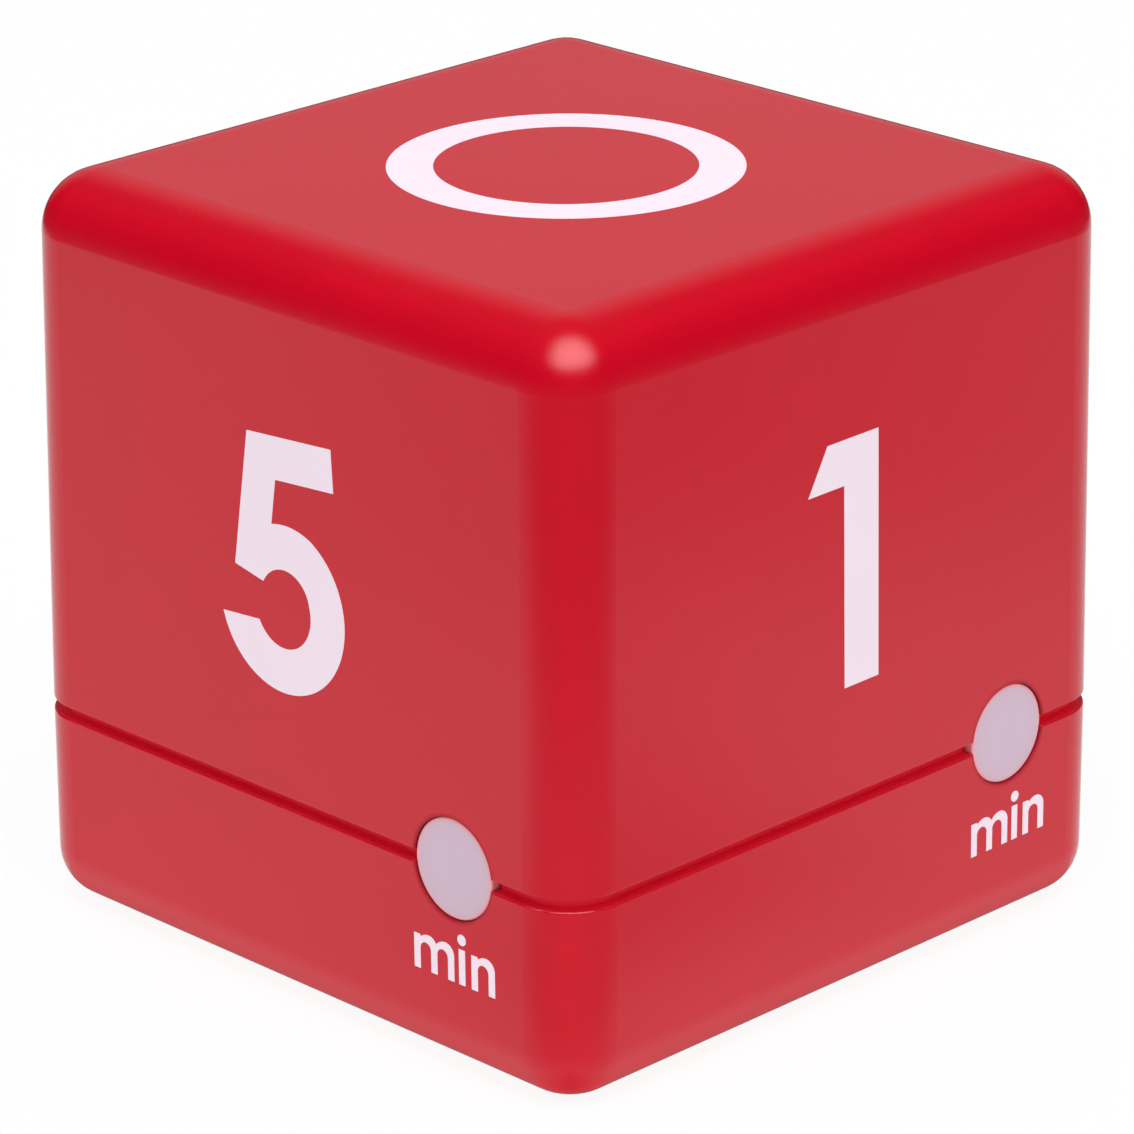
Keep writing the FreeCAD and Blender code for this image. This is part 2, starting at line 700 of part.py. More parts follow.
def spring_gap():
    """Least gap between one turn of the spring and the next."""
    length = 2 * (BAY_END - STRIP) - DIMPLE - CELL_LENGTH
    per_turn = 48
    count = round(SPRING_TURNS * per_turn)
    points = [spring_point(step / per_turn, length) for step in range(count + 1)]
    least = min(points[a].distanceToPoint(points[b])
                for a in range(count + 1) for b in range(a + per_turn // 2, count + 1))
    return least - WIRE


def battery_door():
    """Door with a round hinged end, two pins and a sprung latch."""
    plate = door_plate(HINGE_X, 0, (0, DOOR))
    nose_x = (DOOR_END - LATCH_NOSE, DOOR_END)
    nose = block(nose_x, about(LATCH_Y, LATCH_HALF - SINK), (DOOR - SINK, LATCH_NOSE_TOP))
    door = plate.fuse([hinge_pin(DOOR / 2, 0), hinge_pin(HINGE_PIN_RADIUS, HINGE_PIN), nose])
    start = DOOR_END - LATCH_LENGTH
    cuts = []
    for side in (-1, 1):
        middle = LATCH_Y + side * (LATCH_HALF + LATCH_SLOT / 2)
        cuts.append(block((start, DOOR_END + PAST), about(middle, LATCH_SLOT / 2), (-PAST, DOOR + PAST)))
    dish_middle = Vector(start - LATCH_DISH_OFF, LATCH_Y, LATCH_DISH - LATCH_DISH_RADIUS)
    cuts.append(Part.makeSphere(LATCH_DISH_RADIUS, dish_middle))
    for step in range(2, 5):
        middle = start + LATCH_RIDGE_PITCH * step
        cuts.append(block(about(middle, LATCH_RIDGE_HALF), about(LATCH_Y, LATCH_HALF - PAST),
                          (-PAST, LATCH_RIDGE)))
    return door.cut(cuts).removeSplitter()


def door_foam():
    """Thin foam pad that keeps the cells from rattling."""
    return rounded_block(FOAM_X, FOAM_Y, (DOOR, DOOR + FOAM), DOOR_ROUND)


def display_window():
    return rounded_block(about(0, WINDOW_HALF), WINDOW_Y, WINDOW_Z, WINDOW_ROUND)


def display_cell():
    """Two sheets of glass; the lower one reaches out as a contact ledge."""
    front = block(about(0, GLASS_HALF), GLASS_Y, (WALL, WALL + GLASS))
    rear = block(about(0, GLASS_HALF), (GLASS_Y[0] + GLASS_LEDGE, GLASS_Y[1]),
                 (WALL + GLASS, WALL + 2 * GLASS))
    return joined([front, rear])


def display_holder():
    """Frame that clamps the display to the floor of the case."""
    frame = block(about(0, HOLDER_HALF), HOLDER_Y, (WALL, HOLDER_TOP))
    ears = []
    for x, y in HOLDER_SCREWS:
        ear_y = (y - HOLDER_EAR_REACH, HOLDER_Y[0] + SINK)
        ears.append(block(about(x, HOLDER_EAR_HALF), ear_y, (HOLDER_TOP - HOLDER_EAR, HOLDER_TOP)))
    frame = frame.fuse(ears)
    above = HOLDER_TOP + PAST
    glass_y = (GLASS_Y[0] - FIT, GLASS_Y[1] + FIT)
    ribbon_y = (HOLDER_Y[0] - PAST, GLASS_Y[0] + GLASS_LEDGE - FIT)
    cuts = [block(about(0, GLASS_HALF + FIT), glass_y, (0, WALL + 2 * GLASS)),
            block(about(0, HOLDER_SIGHT_HALF), HOLDER_SIGHT_Y, (0, above)),
            block(about(0, RIBBON_HALF + RIBBON_CLEAR), ribbon_y, (WALL + GLASS, above))]
    cuts += [rod(SCREW_HOLE_RADIUS, (x, y, 0), (x, y, above)) for x, y in HOLDER_SCREWS]
    return frame.cut(cuts).removeSplitter()


def bend(y, z, way):
    """Quarter bend of the ribbon about a line along X, below that line or above it."""
    ends = ((-RIBBON_HALF, y, z), (RIBBON_HALF, y, z))
    tube = rod(RIBBON_BEND + RIBBON, *ends).cut(rod(RIBBON_BEND, *ends))
    reach = RIBBON_BEND + RIBBON + PAST
    span = sorted((z, z + way * reach))
    return tube.common(block(about(0, RIBBON_HALF), (y - reach, y), span))


def display_ribbon():
    """Flat ribbon from the glass ledge up to the underside of the board."""
    low = WALL + GLASS
    bend_y = RIBBON_BACK + RIBBON + RIBBON_BEND
    low_bend = low + RIBBON + RIBBON_BEND
    high_bend = BOARD_FOOT - RIBBON - RIBBON_BEND
    x = about(0, RIBBON_HALF)
    pieces = [block(x, (bend_y, GLASS_Y[0] + GLASS_LEDGE - 2 * FIT), (low, low + RIBBON)),
              bend(bend_y, low_bend, -1),
              block(x, (RIBBON_BACK, RIBBON_BACK + RIBBON), (low_bend, high_bend)),
              bend(bend_y, high_bend, 1),
              block(x, (bend_y, bend_y + RIBBON_END), (BOARD_FOOT - RIBBON, BOARD_FOOT))]
    return joined(pieces)


def buzzer_case():
    """Cup of the buzzer, with its sound hole below and a seat for the disc."""
    bore = BUZZER_RADIUS - BUZZER_WALL
    seat = bore - BUZZER_WALL
    edge = BUZZER_WALL / 2
    top = BOARD_FOOT - BUZZER_BASE - BUZZER_FOOT
    cup = turned([(BUZZER_HOLE_RADIUS, 0), (BUZZER_RADIUS - edge, 0), (BUZZER_RADIUS, edge),
                  (BUZZER_RADIUS, top), (bore, top), (bore, DISC_SEAT), (seat, DISC_SEAT),
                  (seat, BUZZER_WALL), (BUZZER_HOLE_RADIUS, BUZZER_WALL)])
    return aimed(cup, BUZZER + (BUZZER_FOOT,), (0, 0, 1))


def buzzer_disc():
    """Steel disc that sounds, with its small weight."""
    top = DISC_SEAT + DISC
    disc = turned([(0, DISC_SEAT), (DISC_RADIUS, DISC_SEAT), (DISC_RADIUS, top), (DISC_WEIGHT_RADIUS, top),
                   (DISC_WEIGHT_RADIUS, DISC_WEIGHT_TOP), (0, DISC_WEIGHT_TOP)])
    return aimed(disc, BUZZER + (BUZZER_FOOT,), (0, 0, 1))


def buzzer_coil():
    """Bobbin and core that pull the disc."""
    top = BOARD_FOOT - BUZZER_BASE - BUZZER_FOOT
    low = BOBBIN_FOOT + BOBBIN_FLANGE
    high = top - BOBBIN_FLANGE
    coil = turned([(0, CORE_FOOT), (CORE_RADIUS, CORE_FOOT), (CORE_RADIUS, BOBBIN_FOOT),
                   (BOBBIN_RADIUS, BOBBIN_FOOT), (BOBBIN_RADIUS, low), (WINDING_RADIUS, low),
                   (WINDING_RADIUS, high), (BOBBIN_RADIUS, high), (BOBBIN_RADIUS, top), (0, top)])
    return aimed(coil, BUZZER + (BUZZER_FOOT,), (0, 0, 1))


def buzzer_base():
    """Disc that closes the cup, with two pins through the board."""
    x, y = BUZZER
    pieces = [rod(BUZZER_RADIUS - FIT, (x, y, BOARD_FOOT - BUZZER_BASE), (x, y, BOARD_FOOT))]
    span = (BOARD_FOOT - SINK, BOARD_TOP + PAST)
    for pin in BUZZER_PINS:
        pieces.append(rod(BUZZER_PIN_RADIUS, (x + pin, y, span[0]), (x + pin, y, span[1])))
    return joined(pieces)


def switch_case():
    """Sheet-metal case of the volume switch, open below for its lever."""
    sheet = SWITCH_SHEET
    case = block(about(SLIDER_X, SWITCH_HALF[0]), about(SWITCH_Y, SWITCH_HALF[1]),
                 (SWITCH_FOOT, BOARD_FOOT))
    hollow = block(about(SLIDER_X, SWITCH_HALF[0] - sheet), about(SWITCH_Y, SWITCH_HALF[1] - sheet),
                   (SWITCH_FOOT + sheet, BOARD_FOOT - sheet))
    half = LEVER_HALF + SLIDER_CLEAR
    mouth = block(about(SLIDER_X, half), about(SWITCH_Y, half + SLIDER_TRAVEL / 2),
                  (SWITCH_FOOT - PAST, SWITCH_FOOT + PAST))
    return case.cut([hollow, mouth])


def switch_lever():
    """Moving lever of the volume switch."""
    clear = SWITCH_SHEET + SLIDER_CLEAR
    head = block(about(SLIDER_X, LEVER_HEAD_HALF[0]), about(SLIDER_Y, LEVER_HEAD_HALF[1]),
                 (SWITCH_FOOT + clear, BOARD_FOOT - clear))
    stem = block(about(SLIDER_X, LEVER_HALF), about(SLIDER_Y, LEVER_HALF),
                 (FORK_FOOT + SLIDER_CLEAR, SWITCH_FOOT + PAST))
    return joined([head, stem])


def volume_slider():
    """Knob, plate and forked stem in one piece."""
    knob_x = about(SLIDER_X, KNOB_HALF)
    knob = block(knob_x, about(SLIDER_Y, KNOB_HALF), (KNOB_FOOT, SLIDER_PLATE_Z[0] + SINK))
    grooves = [block(knob_x, about(SLIDER_Y + step, KNOB_GROOVE_HALF),
                     (KNOB_FOOT - PAST, KNOB_FOOT + KNOB_GROOVE)) for step in KNOB_GROOVES]
    plate = block(about(SLIDER_X, SLIDER_PLATE_HALF[0]), about(SLIDER_Y, SLIDER_PLATE_HALF[1]),
                  SLIDER_PLATE_Z)
    stem = block(about(SLIDER_X, STEM_HALF[0]), about(SLIDER_Y, STEM_HALF[1]),
                 (SLIDER_PLATE_Z[1] - SINK, FORK_FOOT))
    pieces = [knob.cut(grooves), plate, stem]
    for side in (-1, 1):
        near = SLIDER_Y + side * (LEVER_HALF + FIT / 2)
        far = SLIDER_Y + side * STEM_HALF[1]
        pieces.append(block(about(SLIDER_X, STEM_HALF[0]), sorted((near, far)),
                            (FORK_FOOT - SINK, FORK_TOP)))
    return joined(pieces)


def tilt_axis():
    """Direction of the front ball switch, outwards and a little upwards."""
    angle = math.radians(TILT_ANGLE)
    return Vector(0, -math.cos(angle), math.sin(angle))


def tilt_start():
    """Centre of the lower, inner end of the front ball switch."""
    angle = math.radians(TILT_ANGLE)
    drop = TILT_LENGTH / 2 * math.sin(angle) + TILT_RADIUS * math.cos(angle)
    middle = Vector(0, -TILT_REACH, BOARD_TOP + drop + FIT / 2)
    return middle - tilt_axis() * (TILT_LENGTH / 2)


def tilt_can():
    """Drawn can, closed at its outer end."""
    can = turned([(TILT_BORE, 0), (TILT_RADIUS, 0), (TILT_RADIUS, TILT_LENGTH - TILT_END),
                  (TILT_RADIUS - TILT_END, TILT_LENGTH), (0, TILT_LENGTH), (0, TILT_LENGTH - TILT_END),
                  (TILT_BORE, TILT_LENGTH - TILT_END)])
    return aimed(can, tilt_start(), tilt_axis())


def tilt_base():
    """Plug that closes the can and stands on the board."""
    start = tilt_start()
    plug = aimed(rod(TILT_BORE, (0, 0, -TILT_PLUG / 2), (0, 0, TILT_PLUG)), start, tilt_axis())
    foot_y = (start.y + TILT_PLUG / 2, start.y + 3 * TILT_PLUG / 2)
    foot = block(about(0, TILT_FOOT_HALF), foot_y, (BOARD_TOP, start.z + TILT_PLUG))
    neck = aimed(rod(TILT_NECK_RADIUS, (0, 0, -TILT_NECK_RADIUS), (0, 0, 0)), start, tilt_axis())
    return joined([plug, neck, foot])


def tilt_ball():
    """Ball at rest against the plug."""
    place = tilt_start() + tilt_axis() * (TILT_PLUG + BALL_RADIUS + BALL_CLEAR)
    return Part.makeSphere(BALL_RADIUS, place)


def controller():
    """Low dome of resin over the controller chip."""
    ball_radius = (CHIP_REACH ** 2 + CHIP_RISE ** 2) / (2 * CHIP_RISE)
    top = BOARD_TOP + CHIP_RISE
    dome = Part.makeSphere(ball_radius, Vector(0, 0, top - ball_radius))
    return dome.common(rod(CHIP_REACH + PAST, (0, 0, BOARD_TOP), (0, 0, top + PAST)))


def crystal():
    """Quartz crystal in its small can, lying on the board."""
    radius = CRYSTAL_RADIUS
    end = CRYSTAL_LENGTH
    edge = radius / 3
    can = turned([(0, 0), (radius, 0), (radius, end - edge), (radius - edge, end), (0, end)])
    return aimed(can, CRYSTAL_AT + (BOARD_TOP + radius,), (1, 0, 0))


def capacitor():
    """Upright electrolytic capacitor."""
    radius = CAPACITOR_RADIUS
    end = CAPACITOR_LENGTH
    edge = 0.3
    can = turned([(0, 0), (radius, 0), (radius, 3 * edge), (radius - edge, 4 * edge), (radius, 5 * edge),
                  (radius, end - edge), (radius - edge, end), (0, end)])
    return aimed(can, CAPACITOR_AT + (BOARD_TOP,), (0, 0, 1))


def chip_resistors():
    """Six small resistors on the board."""
    made = []
    for column in range(3):
        for line in range(2):
            x = about(RESISTORS_AT[0] + RESISTOR_PITCH[0] * column, RESISTOR_HALF[0])
            y = about(RESISTORS_AT[1] + RESISTOR_PITCH[1] * line, RESISTOR_HALF[1])
            made.append(block(x, y, (BOARD_TOP, BOARD_TOP + RESISTOR)))
    return Part.makeCompound(made)


def main():
    os.makedirs("parts", exist_ok=True)
    save("upper_shell", upper_shell())
    save("lower_shell", lower_shell())
    for side in TURNS:
        save("light_lens_" + side, to_side(light_lens(), side))
        save("light_diode_" + side, to_side(light_diode(), side))
        save("tilt_can_" + side, to_side(tilt_can(), side))
        save("tilt_base_" + side, to_side(tilt_base(), side))
        save("tilt_ball_" + side, to_side(tilt_ball(), side))
    save("main_board", main_board())
    save("controller", controller())
    save("crystal", crystal())
    save("capacitor", capacitor())
    save("chip_resistors", chip_resistors())
    save("battery_door", battery_door())
    save("door_foam", door_foam())
    save("battery_cell_front", battery_cell(CELL_ROWS[0], True))
    save("battery_cell_rear", battery_cell(CELL_ROWS[1], False))
    save("contact_positive", contact_positive())
    save("contact_negative", contact_negative())
    save("contact_link", contact_link())
    save("spring_negative", battery_spring(CELL_ROWS[1], 1))
    save("spring_link", battery_spring(CELL_ROWS[0], -1))
    print("spring: least gap between turns", round(spring_gap(), 2), "mm")
    save("display_window", display_window())
    save("display_cell", display_cell())
    save("display_holder", display_holder())
    save("display_ribbon", display_ribbon())
    save("buzzer_case", buzzer_case())
    save("buzzer_disc", buzzer_disc())
    save("buzzer_coil", buzzer_coil())
    save("buzzer_base", buzzer_base())
    save("switch_case", switch_case())
    save("switch_lever", switch_lever())
    save("volume_slider", volume_slider())
    save("case_screws", screws_at(corners(BOSS_PITCH), SCREW_SEAT, True, CASE_SCREW))
    save("board_screws", screws_at(BOARD_POSTS, BOARD_TOP, False, BOARD_SCREW))
    save("holder_screws", screws_at(HOLDER_SCREWS, HOLDER_TOP, False, HOLDER_SCREW))


main()
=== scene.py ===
import math

import bpy
import numpy as np
from mathutils import Matrix, Vector


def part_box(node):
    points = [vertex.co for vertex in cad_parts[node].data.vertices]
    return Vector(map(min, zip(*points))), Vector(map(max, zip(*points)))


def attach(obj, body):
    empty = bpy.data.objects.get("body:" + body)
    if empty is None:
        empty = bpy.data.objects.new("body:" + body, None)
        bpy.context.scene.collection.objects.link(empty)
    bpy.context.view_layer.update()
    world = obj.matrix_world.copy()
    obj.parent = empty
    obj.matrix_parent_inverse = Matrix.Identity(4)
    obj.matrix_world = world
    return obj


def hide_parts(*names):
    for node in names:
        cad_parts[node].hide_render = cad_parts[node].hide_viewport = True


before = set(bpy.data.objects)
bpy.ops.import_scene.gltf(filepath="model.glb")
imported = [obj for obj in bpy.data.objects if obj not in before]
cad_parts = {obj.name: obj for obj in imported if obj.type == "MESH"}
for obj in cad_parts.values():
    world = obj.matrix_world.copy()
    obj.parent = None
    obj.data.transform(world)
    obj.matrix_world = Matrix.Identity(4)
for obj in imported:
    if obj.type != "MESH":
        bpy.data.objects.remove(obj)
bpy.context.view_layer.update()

# Cube timer, in metres, with +Z up. Lengths below are written in millimetres.
# The face with the figure 1 is the front and looks along -Y, the face with
# the figure 5 is the left one and looks along -X.
MM = 0.001
DEGREE = math.pi / 180
SIDES = ("front", "left", "back", "right")
CASE_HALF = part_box("upper_shell")[1].x / MM
CASE_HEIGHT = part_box("upper_shell")[1].z / MM
CASE_EDGE = 5.0
CASE_DRAW_IN = 0.37
SPLIT_TOP = 17.6
GAP_FOOT = 16.63
GAP_TOP = 17.59

# Light behind the lower right of each side face
LIGHT_LOW, LIGHT_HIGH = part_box("light_lens_front")
LIGHT_ACROSS = (LIGHT_LOW.x + LIGHT_HIGH.x) / 2 / MM
LIGHT_HEIGHT = (LIGHT_LOW.z + LIGHT_HIGH.z) / 2 / MM
LENS_RADIUS = 4.11
LENS_FLANGE_Y = -29.5
DIODE_BACK = -21.88

# Printed figures
INK = 0.012
INK_SINK = 0.02
ARC_STEP = 3.0
FIGURE_HEIGHT = 20.3
FIGURE_FOOT = 26.77
STROKE = 3.87
RING_OUTER = 14.14
RING_INNER = 10.44
ONE_WIDTH = 7.9
ONE_SHOULDER = 5.73
ONE_FLAG = 16.6
ONE_RIGHT = 2.97
ONE_TILT = 0.68
FIVE_BOWL = 7.04
FIVE_CREST = 6.47
FIVE_CREST_OFF = (0.69, 0.25)
FIVE_HOLE = (3.11, 3.19)
FIVE_HOLE_OFF = (0.12, -0.16)
FIVE_VAULT = 2.77
FIVE_VAULT_OFF = (0.40, 0.30)
FIVE_BOWL_HEIGHT = 33.34
FIVE_TOP = 13.74
FIVE_TOP_RIGHT = 6.8
FIVE_BAR_FOOT = 10.26
FIVE_BAR_RIGHT = 6.78
FIVE_STEM_RIGHT = 0.26
FIVE_STEM_TOP = (-2.64, FIVE_TOP)
FIVE_STEM_FOOT = (-5.1, 2.66)
FIVE_ACROSS = -0.14
FIVE_TILT = 4.4
TEN_GAP = 2.6
FIFTEEN_GAP = 2.4
ZERO_HALF = 6.6
ZERO_POWER = 2.25
ROUND_PAST = 0.15
ZERO_HOLE_RISE = 0.5

# The word under each light
WORD_FOOT = 7.69
WORD_LEFT = 14.32
WORD_DRIFT = {"left": (-0.1, 0.17)}
WORD_STROKE = 0.69
WORD_PITCH = 1.85
WORD_ARCH = 3.01
WORD_CREST = 1.6
WORD_SLOPE = 1.3
WORD_CROTCH = 0.829
WORD_NOTCH = 0.86
WORD_STEM = 2.86
WORD_STEM_NARROWER = 0.03
WORD_I = 4.9
WORD_I_TOP = 2.94
WORD_DOT = 3.73
WORD_DOT_RADIUS = 0.46
WORD_N = 6.27
WORD_TILT = 0.5

# Display in the underside
GLASS_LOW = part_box("display_cell")[0]
DISPLAY_Y = -13.5
DIGIT_HEIGHT = 7.6
DIGIT_WIDTH = 3.5
DIGIT_PITCH = 5.0
COLON_ROOM = 0.5
DIGIT_LEAN = 6.0
SEGMENT = 0.72
SEGMENT_GAP = 0.12
COLON_RISE = 1.5
COLON_RADIUS = 0.45
SEGMENT_INK = 0.008
UNDER_INK = 0.004

# Marks beside the volume slider
SLIDER_X = -19.5
MARK_HEIGHT = 1.7
MARK_STROKE = 0.32
MARK_WIDTH = 1.15
MARK_L_WIDTH = MARK_WIDTH * 0.85
MARK_O_POWER = 2.6
MARK_GAP = 0.45
LOUD_MARK_Y = -6.4
SOFT_MARK_Y = -16.6

# Print on the cells, from the tip of the positive end
BAND_END = 11.5
STRIPE_MIDDLE = 12.3
STRIPE_WIDTH = 0.7
RING_MIDDLE = 41.6
RING_WIDTH = 0.8
PLUS_MIDDLE = 5.2
MINUS_MIDDLE = 38.4
SIGN_SIZE = 2.6
SIGN_STROKE = 0.56
WRAP_START = 0.95
WRAP_END = 44.35
WRAP_EDGE_RADIUS = 4.55

# Foam pad on the battery door
PAD_FOOT_ROWS = 12
PAD_TOP_ROWS = 24
PAD_MIDDLE_SHARE = 0.04
PAD_CROWN_SHARE = 0.28
PAD_RIM_POWER = 60
PAD_LEAST_HEIGHT = 0.04
PAD_CORNER_POWER = 9.0

# View
VIEW_PLACE = (-302.87, -303.46, 192.13)
VIEW_TURN = -44.9311
VIEW_DIP = 20.9209
VIEW_ROLL = -0.2959
LENS_LENGTH = 180.98

# Light and floor, with lengths in metres
KEY_TOWARDS = (-0.29, -0.365, 0.885)
KEY_SHINE_TOWARDS = (-0.318, -0.546, 0.742)
KEY_DISTANCE = 0.9
KEY_SIDE = 0.5
KEY_POWER = 3.4
UNDER_PLACE = (0.22, -0.3, -0.55)
UNDER_SIDE = 0.6
UNDER_POWER = 2.4
FLOOR_HALF = 3.0
FLOOR_HOLE_HALF = 0.0264
FLOOR_FOOT = (0.0285, 0.0335)
FLOOR_GLOW = (0.034, 0.050)
FLOOR_NEAR = (0.038, 0.058)
FLOOR_FAR = (0.09, 0.165)
FLOOR_FADE = (0.20, 0.34)
FLOOR_WHITE = 0.95
FLOOR_BOUNCE_SHARE = 0.5
FLOOR_SEEN_SHARE = 0.92
FLOOR_GLOSS = 0.92
FLOOR_FADED_GLOSS = 0.04
FLOOR_FOOT_GLOSS = 0.22
FLOOR_FOOT_GLOW = 1.6
FLOOR_NEAR_DARK = 0.56
FLOOR_FAR_DARK = 0.9
FLOOR_DARK_TURN = 235.0
SKY_LOW = 0.295
SKY_HIGH = 1.08
BACKDROP_TOWARDS = (0.68, 0.68, 0.27)
BACKDROP_ANGLES = (46.0, 12.0)
BACKDROP_GLOSS = 0.335
KEY_SHINE_ANGLES = (60.0, 0.0)
KEY_SHINE_POWER = 2.7
KEY_GLOSS = 6.4
ROOM_GLOSS = 0.005

# Colours
WHITE = (1, 1, 1)
CASE_RED = (0.595, 0.0, 0.014)
RUBBED_RED = (0.70, 0.0, 0.017)
# Painted shade and painted light in the split between the shells
GAP_PAINTED_SHADE_RED = (0.54, 0.0, 0.017)
GAP_PAINTED_LIGHT_RED = (0.98, 0.004, 0.04)
# Painted shade round the lens holes
HOLE_EDGE_PAINTED_SHADE = (0.3, 0.0, 0.009)
HOLE_LIP_PAINTED_SHADE = (0.53, 0.0, 0.013)
DUST = (0.75, 0.70, 0.70)
# Painted lilac and red light on the lenses, and a painted highlight on their rims
LENS_PAINTED_LILAC = (0.645, 0.50, 0.625)
LENS_PAINTED_RED_LIGHT = (0.67, 0.48, 0.59)
LENS_PAINTED_RIM_HIGHLIGHT = (0.92, 0.40, 0.46)
INK_WHITE = (0.955, 0.81, 0.91)
INK_THIN = (0.80, 0.45, 0.50)
LEG_DARK = (0.62, 0.61, 0.59)
LEG_LIGHT = (0.78, 0.77, 0.75)
KNOB_WORN = (0.16, 0.16, 0.17)
RESIST_GREEN = (0.010, 0.095, 0.035)
TRACK_GREEN = (0.028, 0.21, 0.07)
BOARD_TIN = (0.62, 0.60, 0.55)
BOARD_INK = (0.80, 0.81, 0.78)
CHIP_BLACK = (0.03, 0.03, 0.034)
CHIP_TIN = (0.70, 0.69, 0.66)
FOAM_PIT_PAINTED_SHADE = (0.035, 0.035, 0.04)
FOAM_WALL = (0.13, 0.13, 0.14)
CELL_BODY = (0.035, 0.06, 0.15)
CELL_BAND = (0.72, 0.73, 0.74)
CELL_STRIPE = (0.06, 0.33, 0.52)
CELL_STEEL = (0.70, 0.70, 0.71)
CELL_SCRATCH = (0.60, 0.60, 0.62)
WINDOW_TINT = (0.95, 0.97, 0.98)
GLASS_GREY = (0.36, 0.40, 0.34)
GLASS_SEAL = (0.10, 0.12, 0.11)
GLASS_FIBRE = (0.46, 0.50, 0.44)
SEGMENT_GREY = (0.20, 0.225, 0.195)
FILM_AMBER = (0.62, 0.28, 0.04)
FILM_TRACK = (0.16, 0.07, 0.02)
WIRE_SHADE = (0.20, 0.06, 0.02)
WIRE_COPPER = (0.66, 0.28, 0.12)

# Shader nodes


class Nodes:
    """Nodes of one shader tree. A socket may stand for a value, and a colour is three numbers."""

    def __init__(self, tree):
        self.tree = tree

    def feed(self, socket, value):
        if isinstance(value, bpy.types.NodeSocket):
            self.tree.links.new(value, socket)
        else:
            socket.default_value = (*value, 1) if socket.type == "RGBA" else value

    def put(self, kind, inputs=None, **settings):
        """Adds a node with its settings and inputs."""
        made = self.tree.nodes.new("ShaderNode" + kind)
        for name, value in settings.items():
            setattr(made, name, value)
        for key, value in (inputs or {}).items():
            self.feed(made.inputs[key], value)
        return made

    def use(self, effect, **inputs):
        """Output of a shared effect, at the material's place unless another is given."""
        inputs.setdefault("Place", self.place)
        return self.put("Group", inputs, node_tree=bpy.data.node_groups[effect]).outputs[0]

    def math(self, operation, *values, clamp=False):
        return self.put("Math", dict(enumerate(values)), operation=operation, use_clamp=clamp).outputs[0]

    def vector(self, operation, *values, output="Vector"):
        return self.put("VectorMath", dict(enumerate(values)), operation=operation).outputs[output]

    def times(self, first, second):
        return self.math("MULTIPLY", first, second)

    def minus(self, first, second):
        return self.math("SUBTRACT", first, second)

    def most(self, first, second):
        return self.math("MAXIMUM", first, second)

    def add(self, start, value, factor=1.0):
        """Start and a factor times a value."""
        return self.math("MULTIPLY_ADD", value, factor, start)

    def over(self, value, limit):
        """1 where a value is over a limit, else 0."""
        return self.math("GREATER_THAN", value, limit)

    def under(self, value, limit):
        """1 where a value is under a limit, else 0."""
        return self.math("LESS_THAN", value, limit)

    def near(self, value, middle, reach):
        """1 where a value is within a reach of a middle, else 0."""
        return self.math("COMPARE", value, middle, reach)

    def far(self, across, along):
        """Length of the slope over two sides at a right angle."""
        return self.math("SQRT", self.add(self.times(along, along), across, across))

    def smooth(self, value, low, high, start=0.0, end=1.0):
        """Smooth step of a value from start at low to end at high."""
        inputs = {"Value": value, "From Min": low, "From Max": high, "To Min": start, "To Max": end}
        return self.put("MapRange", inputs, interpolation_type="SMOOTHSTEP").outputs["Result"]

    def mix(self, share, first, second):
        """Two values, mixed by a share of the second."""
        return self.put("Mix", {0: share, 2: first, 3: second}).outputs[0]

    def tint(self, share, first, second):
        """Two colours, mixed by a share of the second."""
        return self.put("Mix", {0: share, 6: first, 7: second}, data_type="RGBA").outputs[2]

    def mix_shaders(self, share, first, second):
        return self.put("MixShader", {0: share, 1: first, 2: second}).outputs[0]

    def noise(self, scale, detail, place=None):
        """Noise from 0 to 1, at the material's place unless another is given."""
        inputs = {"Vector": self.place if place is None else place, "Scale": scale, "Detail": detail}
        return self.put("TexNoise", inputs).outputs[0]

    def cells(self, scale, **settings):
        """Distance to the nearest of many scattered points."""
        return self.put("TexVoronoi", {"Vector": self.place, "Scale": scale}, **settings).outputs["Distance"]

    def parts(self, vector=None):
        """The three values of a vector, which is the place where none is given."""
        return self.put("SeparateXYZ", {0: self.place if vector is None else vector}).outputs

    def placed(self, turn=(0, 0, 0), scale=(1, 1, 1)):
        """Place along axes turned by degrees and stretched by a scale."""
        inputs = {"Vector": self.place, "Rotation": [DEGREE * angle for angle in turn], "Scale": scale}
        return self.put("Mapping", inputs).outputs[0]

    def past_box(self, middle, half):
        """How far the place lies past the sides of a box, along X, Y and Z."""
        size = self.vector("ABSOLUTE", self.vector("SUBTRACT", self.place, middle))
        return self.parts(self.vector("SUBTRACT", size, half))


# Effects that several finishes share


class Effect(Nodes):
    """Node group with a place, other named inputs and one output, which is a colour or a value."""

    def __init__(self, name, output, **inputs):
        super().__init__(bpy.data.node_groups.new(name, "ShaderNodeTree"))
        self.add_socket("Place", "INPUT", "Vector")
        for label, value in inputs.items():
            kind = "Float" if isinstance(value, float) else "Color" if label == "Colour" else "Vector"
            self.add_socket(label, "INPUT", kind).default_value = value
        self.add_socket(output, "OUTPUT", "Color" if output == "Colour" else "Float")
        given = self.tree.nodes.new("NodeGroupInput").outputs
        self.given = {socket.name: socket for socket in given if socket.name}
        self.place = self.given["Place"]
        self.result = self.tree.nodes.new("NodeGroupOutput").inputs[output]

    def add_socket(self, label, way, kind):
        return self.tree.interface.new_socket(name=label, in_out=way, socket_type="NodeSocket" + kind)

    def end(self, value):
        self.tree.links.new(value, self.result)


def build_mottle():
    """Slow and fine change of a colour, as in moulded or printed surfaces."""
    effect = Effect("mottle", "Colour", Scale=100.0, Spread=0.05, Colour=(1, 1, 1, 1))
    scale = effect.given["Scale"]
    slow = effect.noise(scale, 3.0)
    fine = effect.noise(effect.times(scale, 9.0), 2.0)
    off = effect.minus(effect.add(slow, fine, 0.5), 0.75)
    level = effect.add(1.0, off, effect.times(effect.given["Spread"], 2.0))
    shifted = effect.put("HueSaturation", {"Value": level, "Color": effect.given["Colour"]})
    effect.end(shifted.outputs[0])


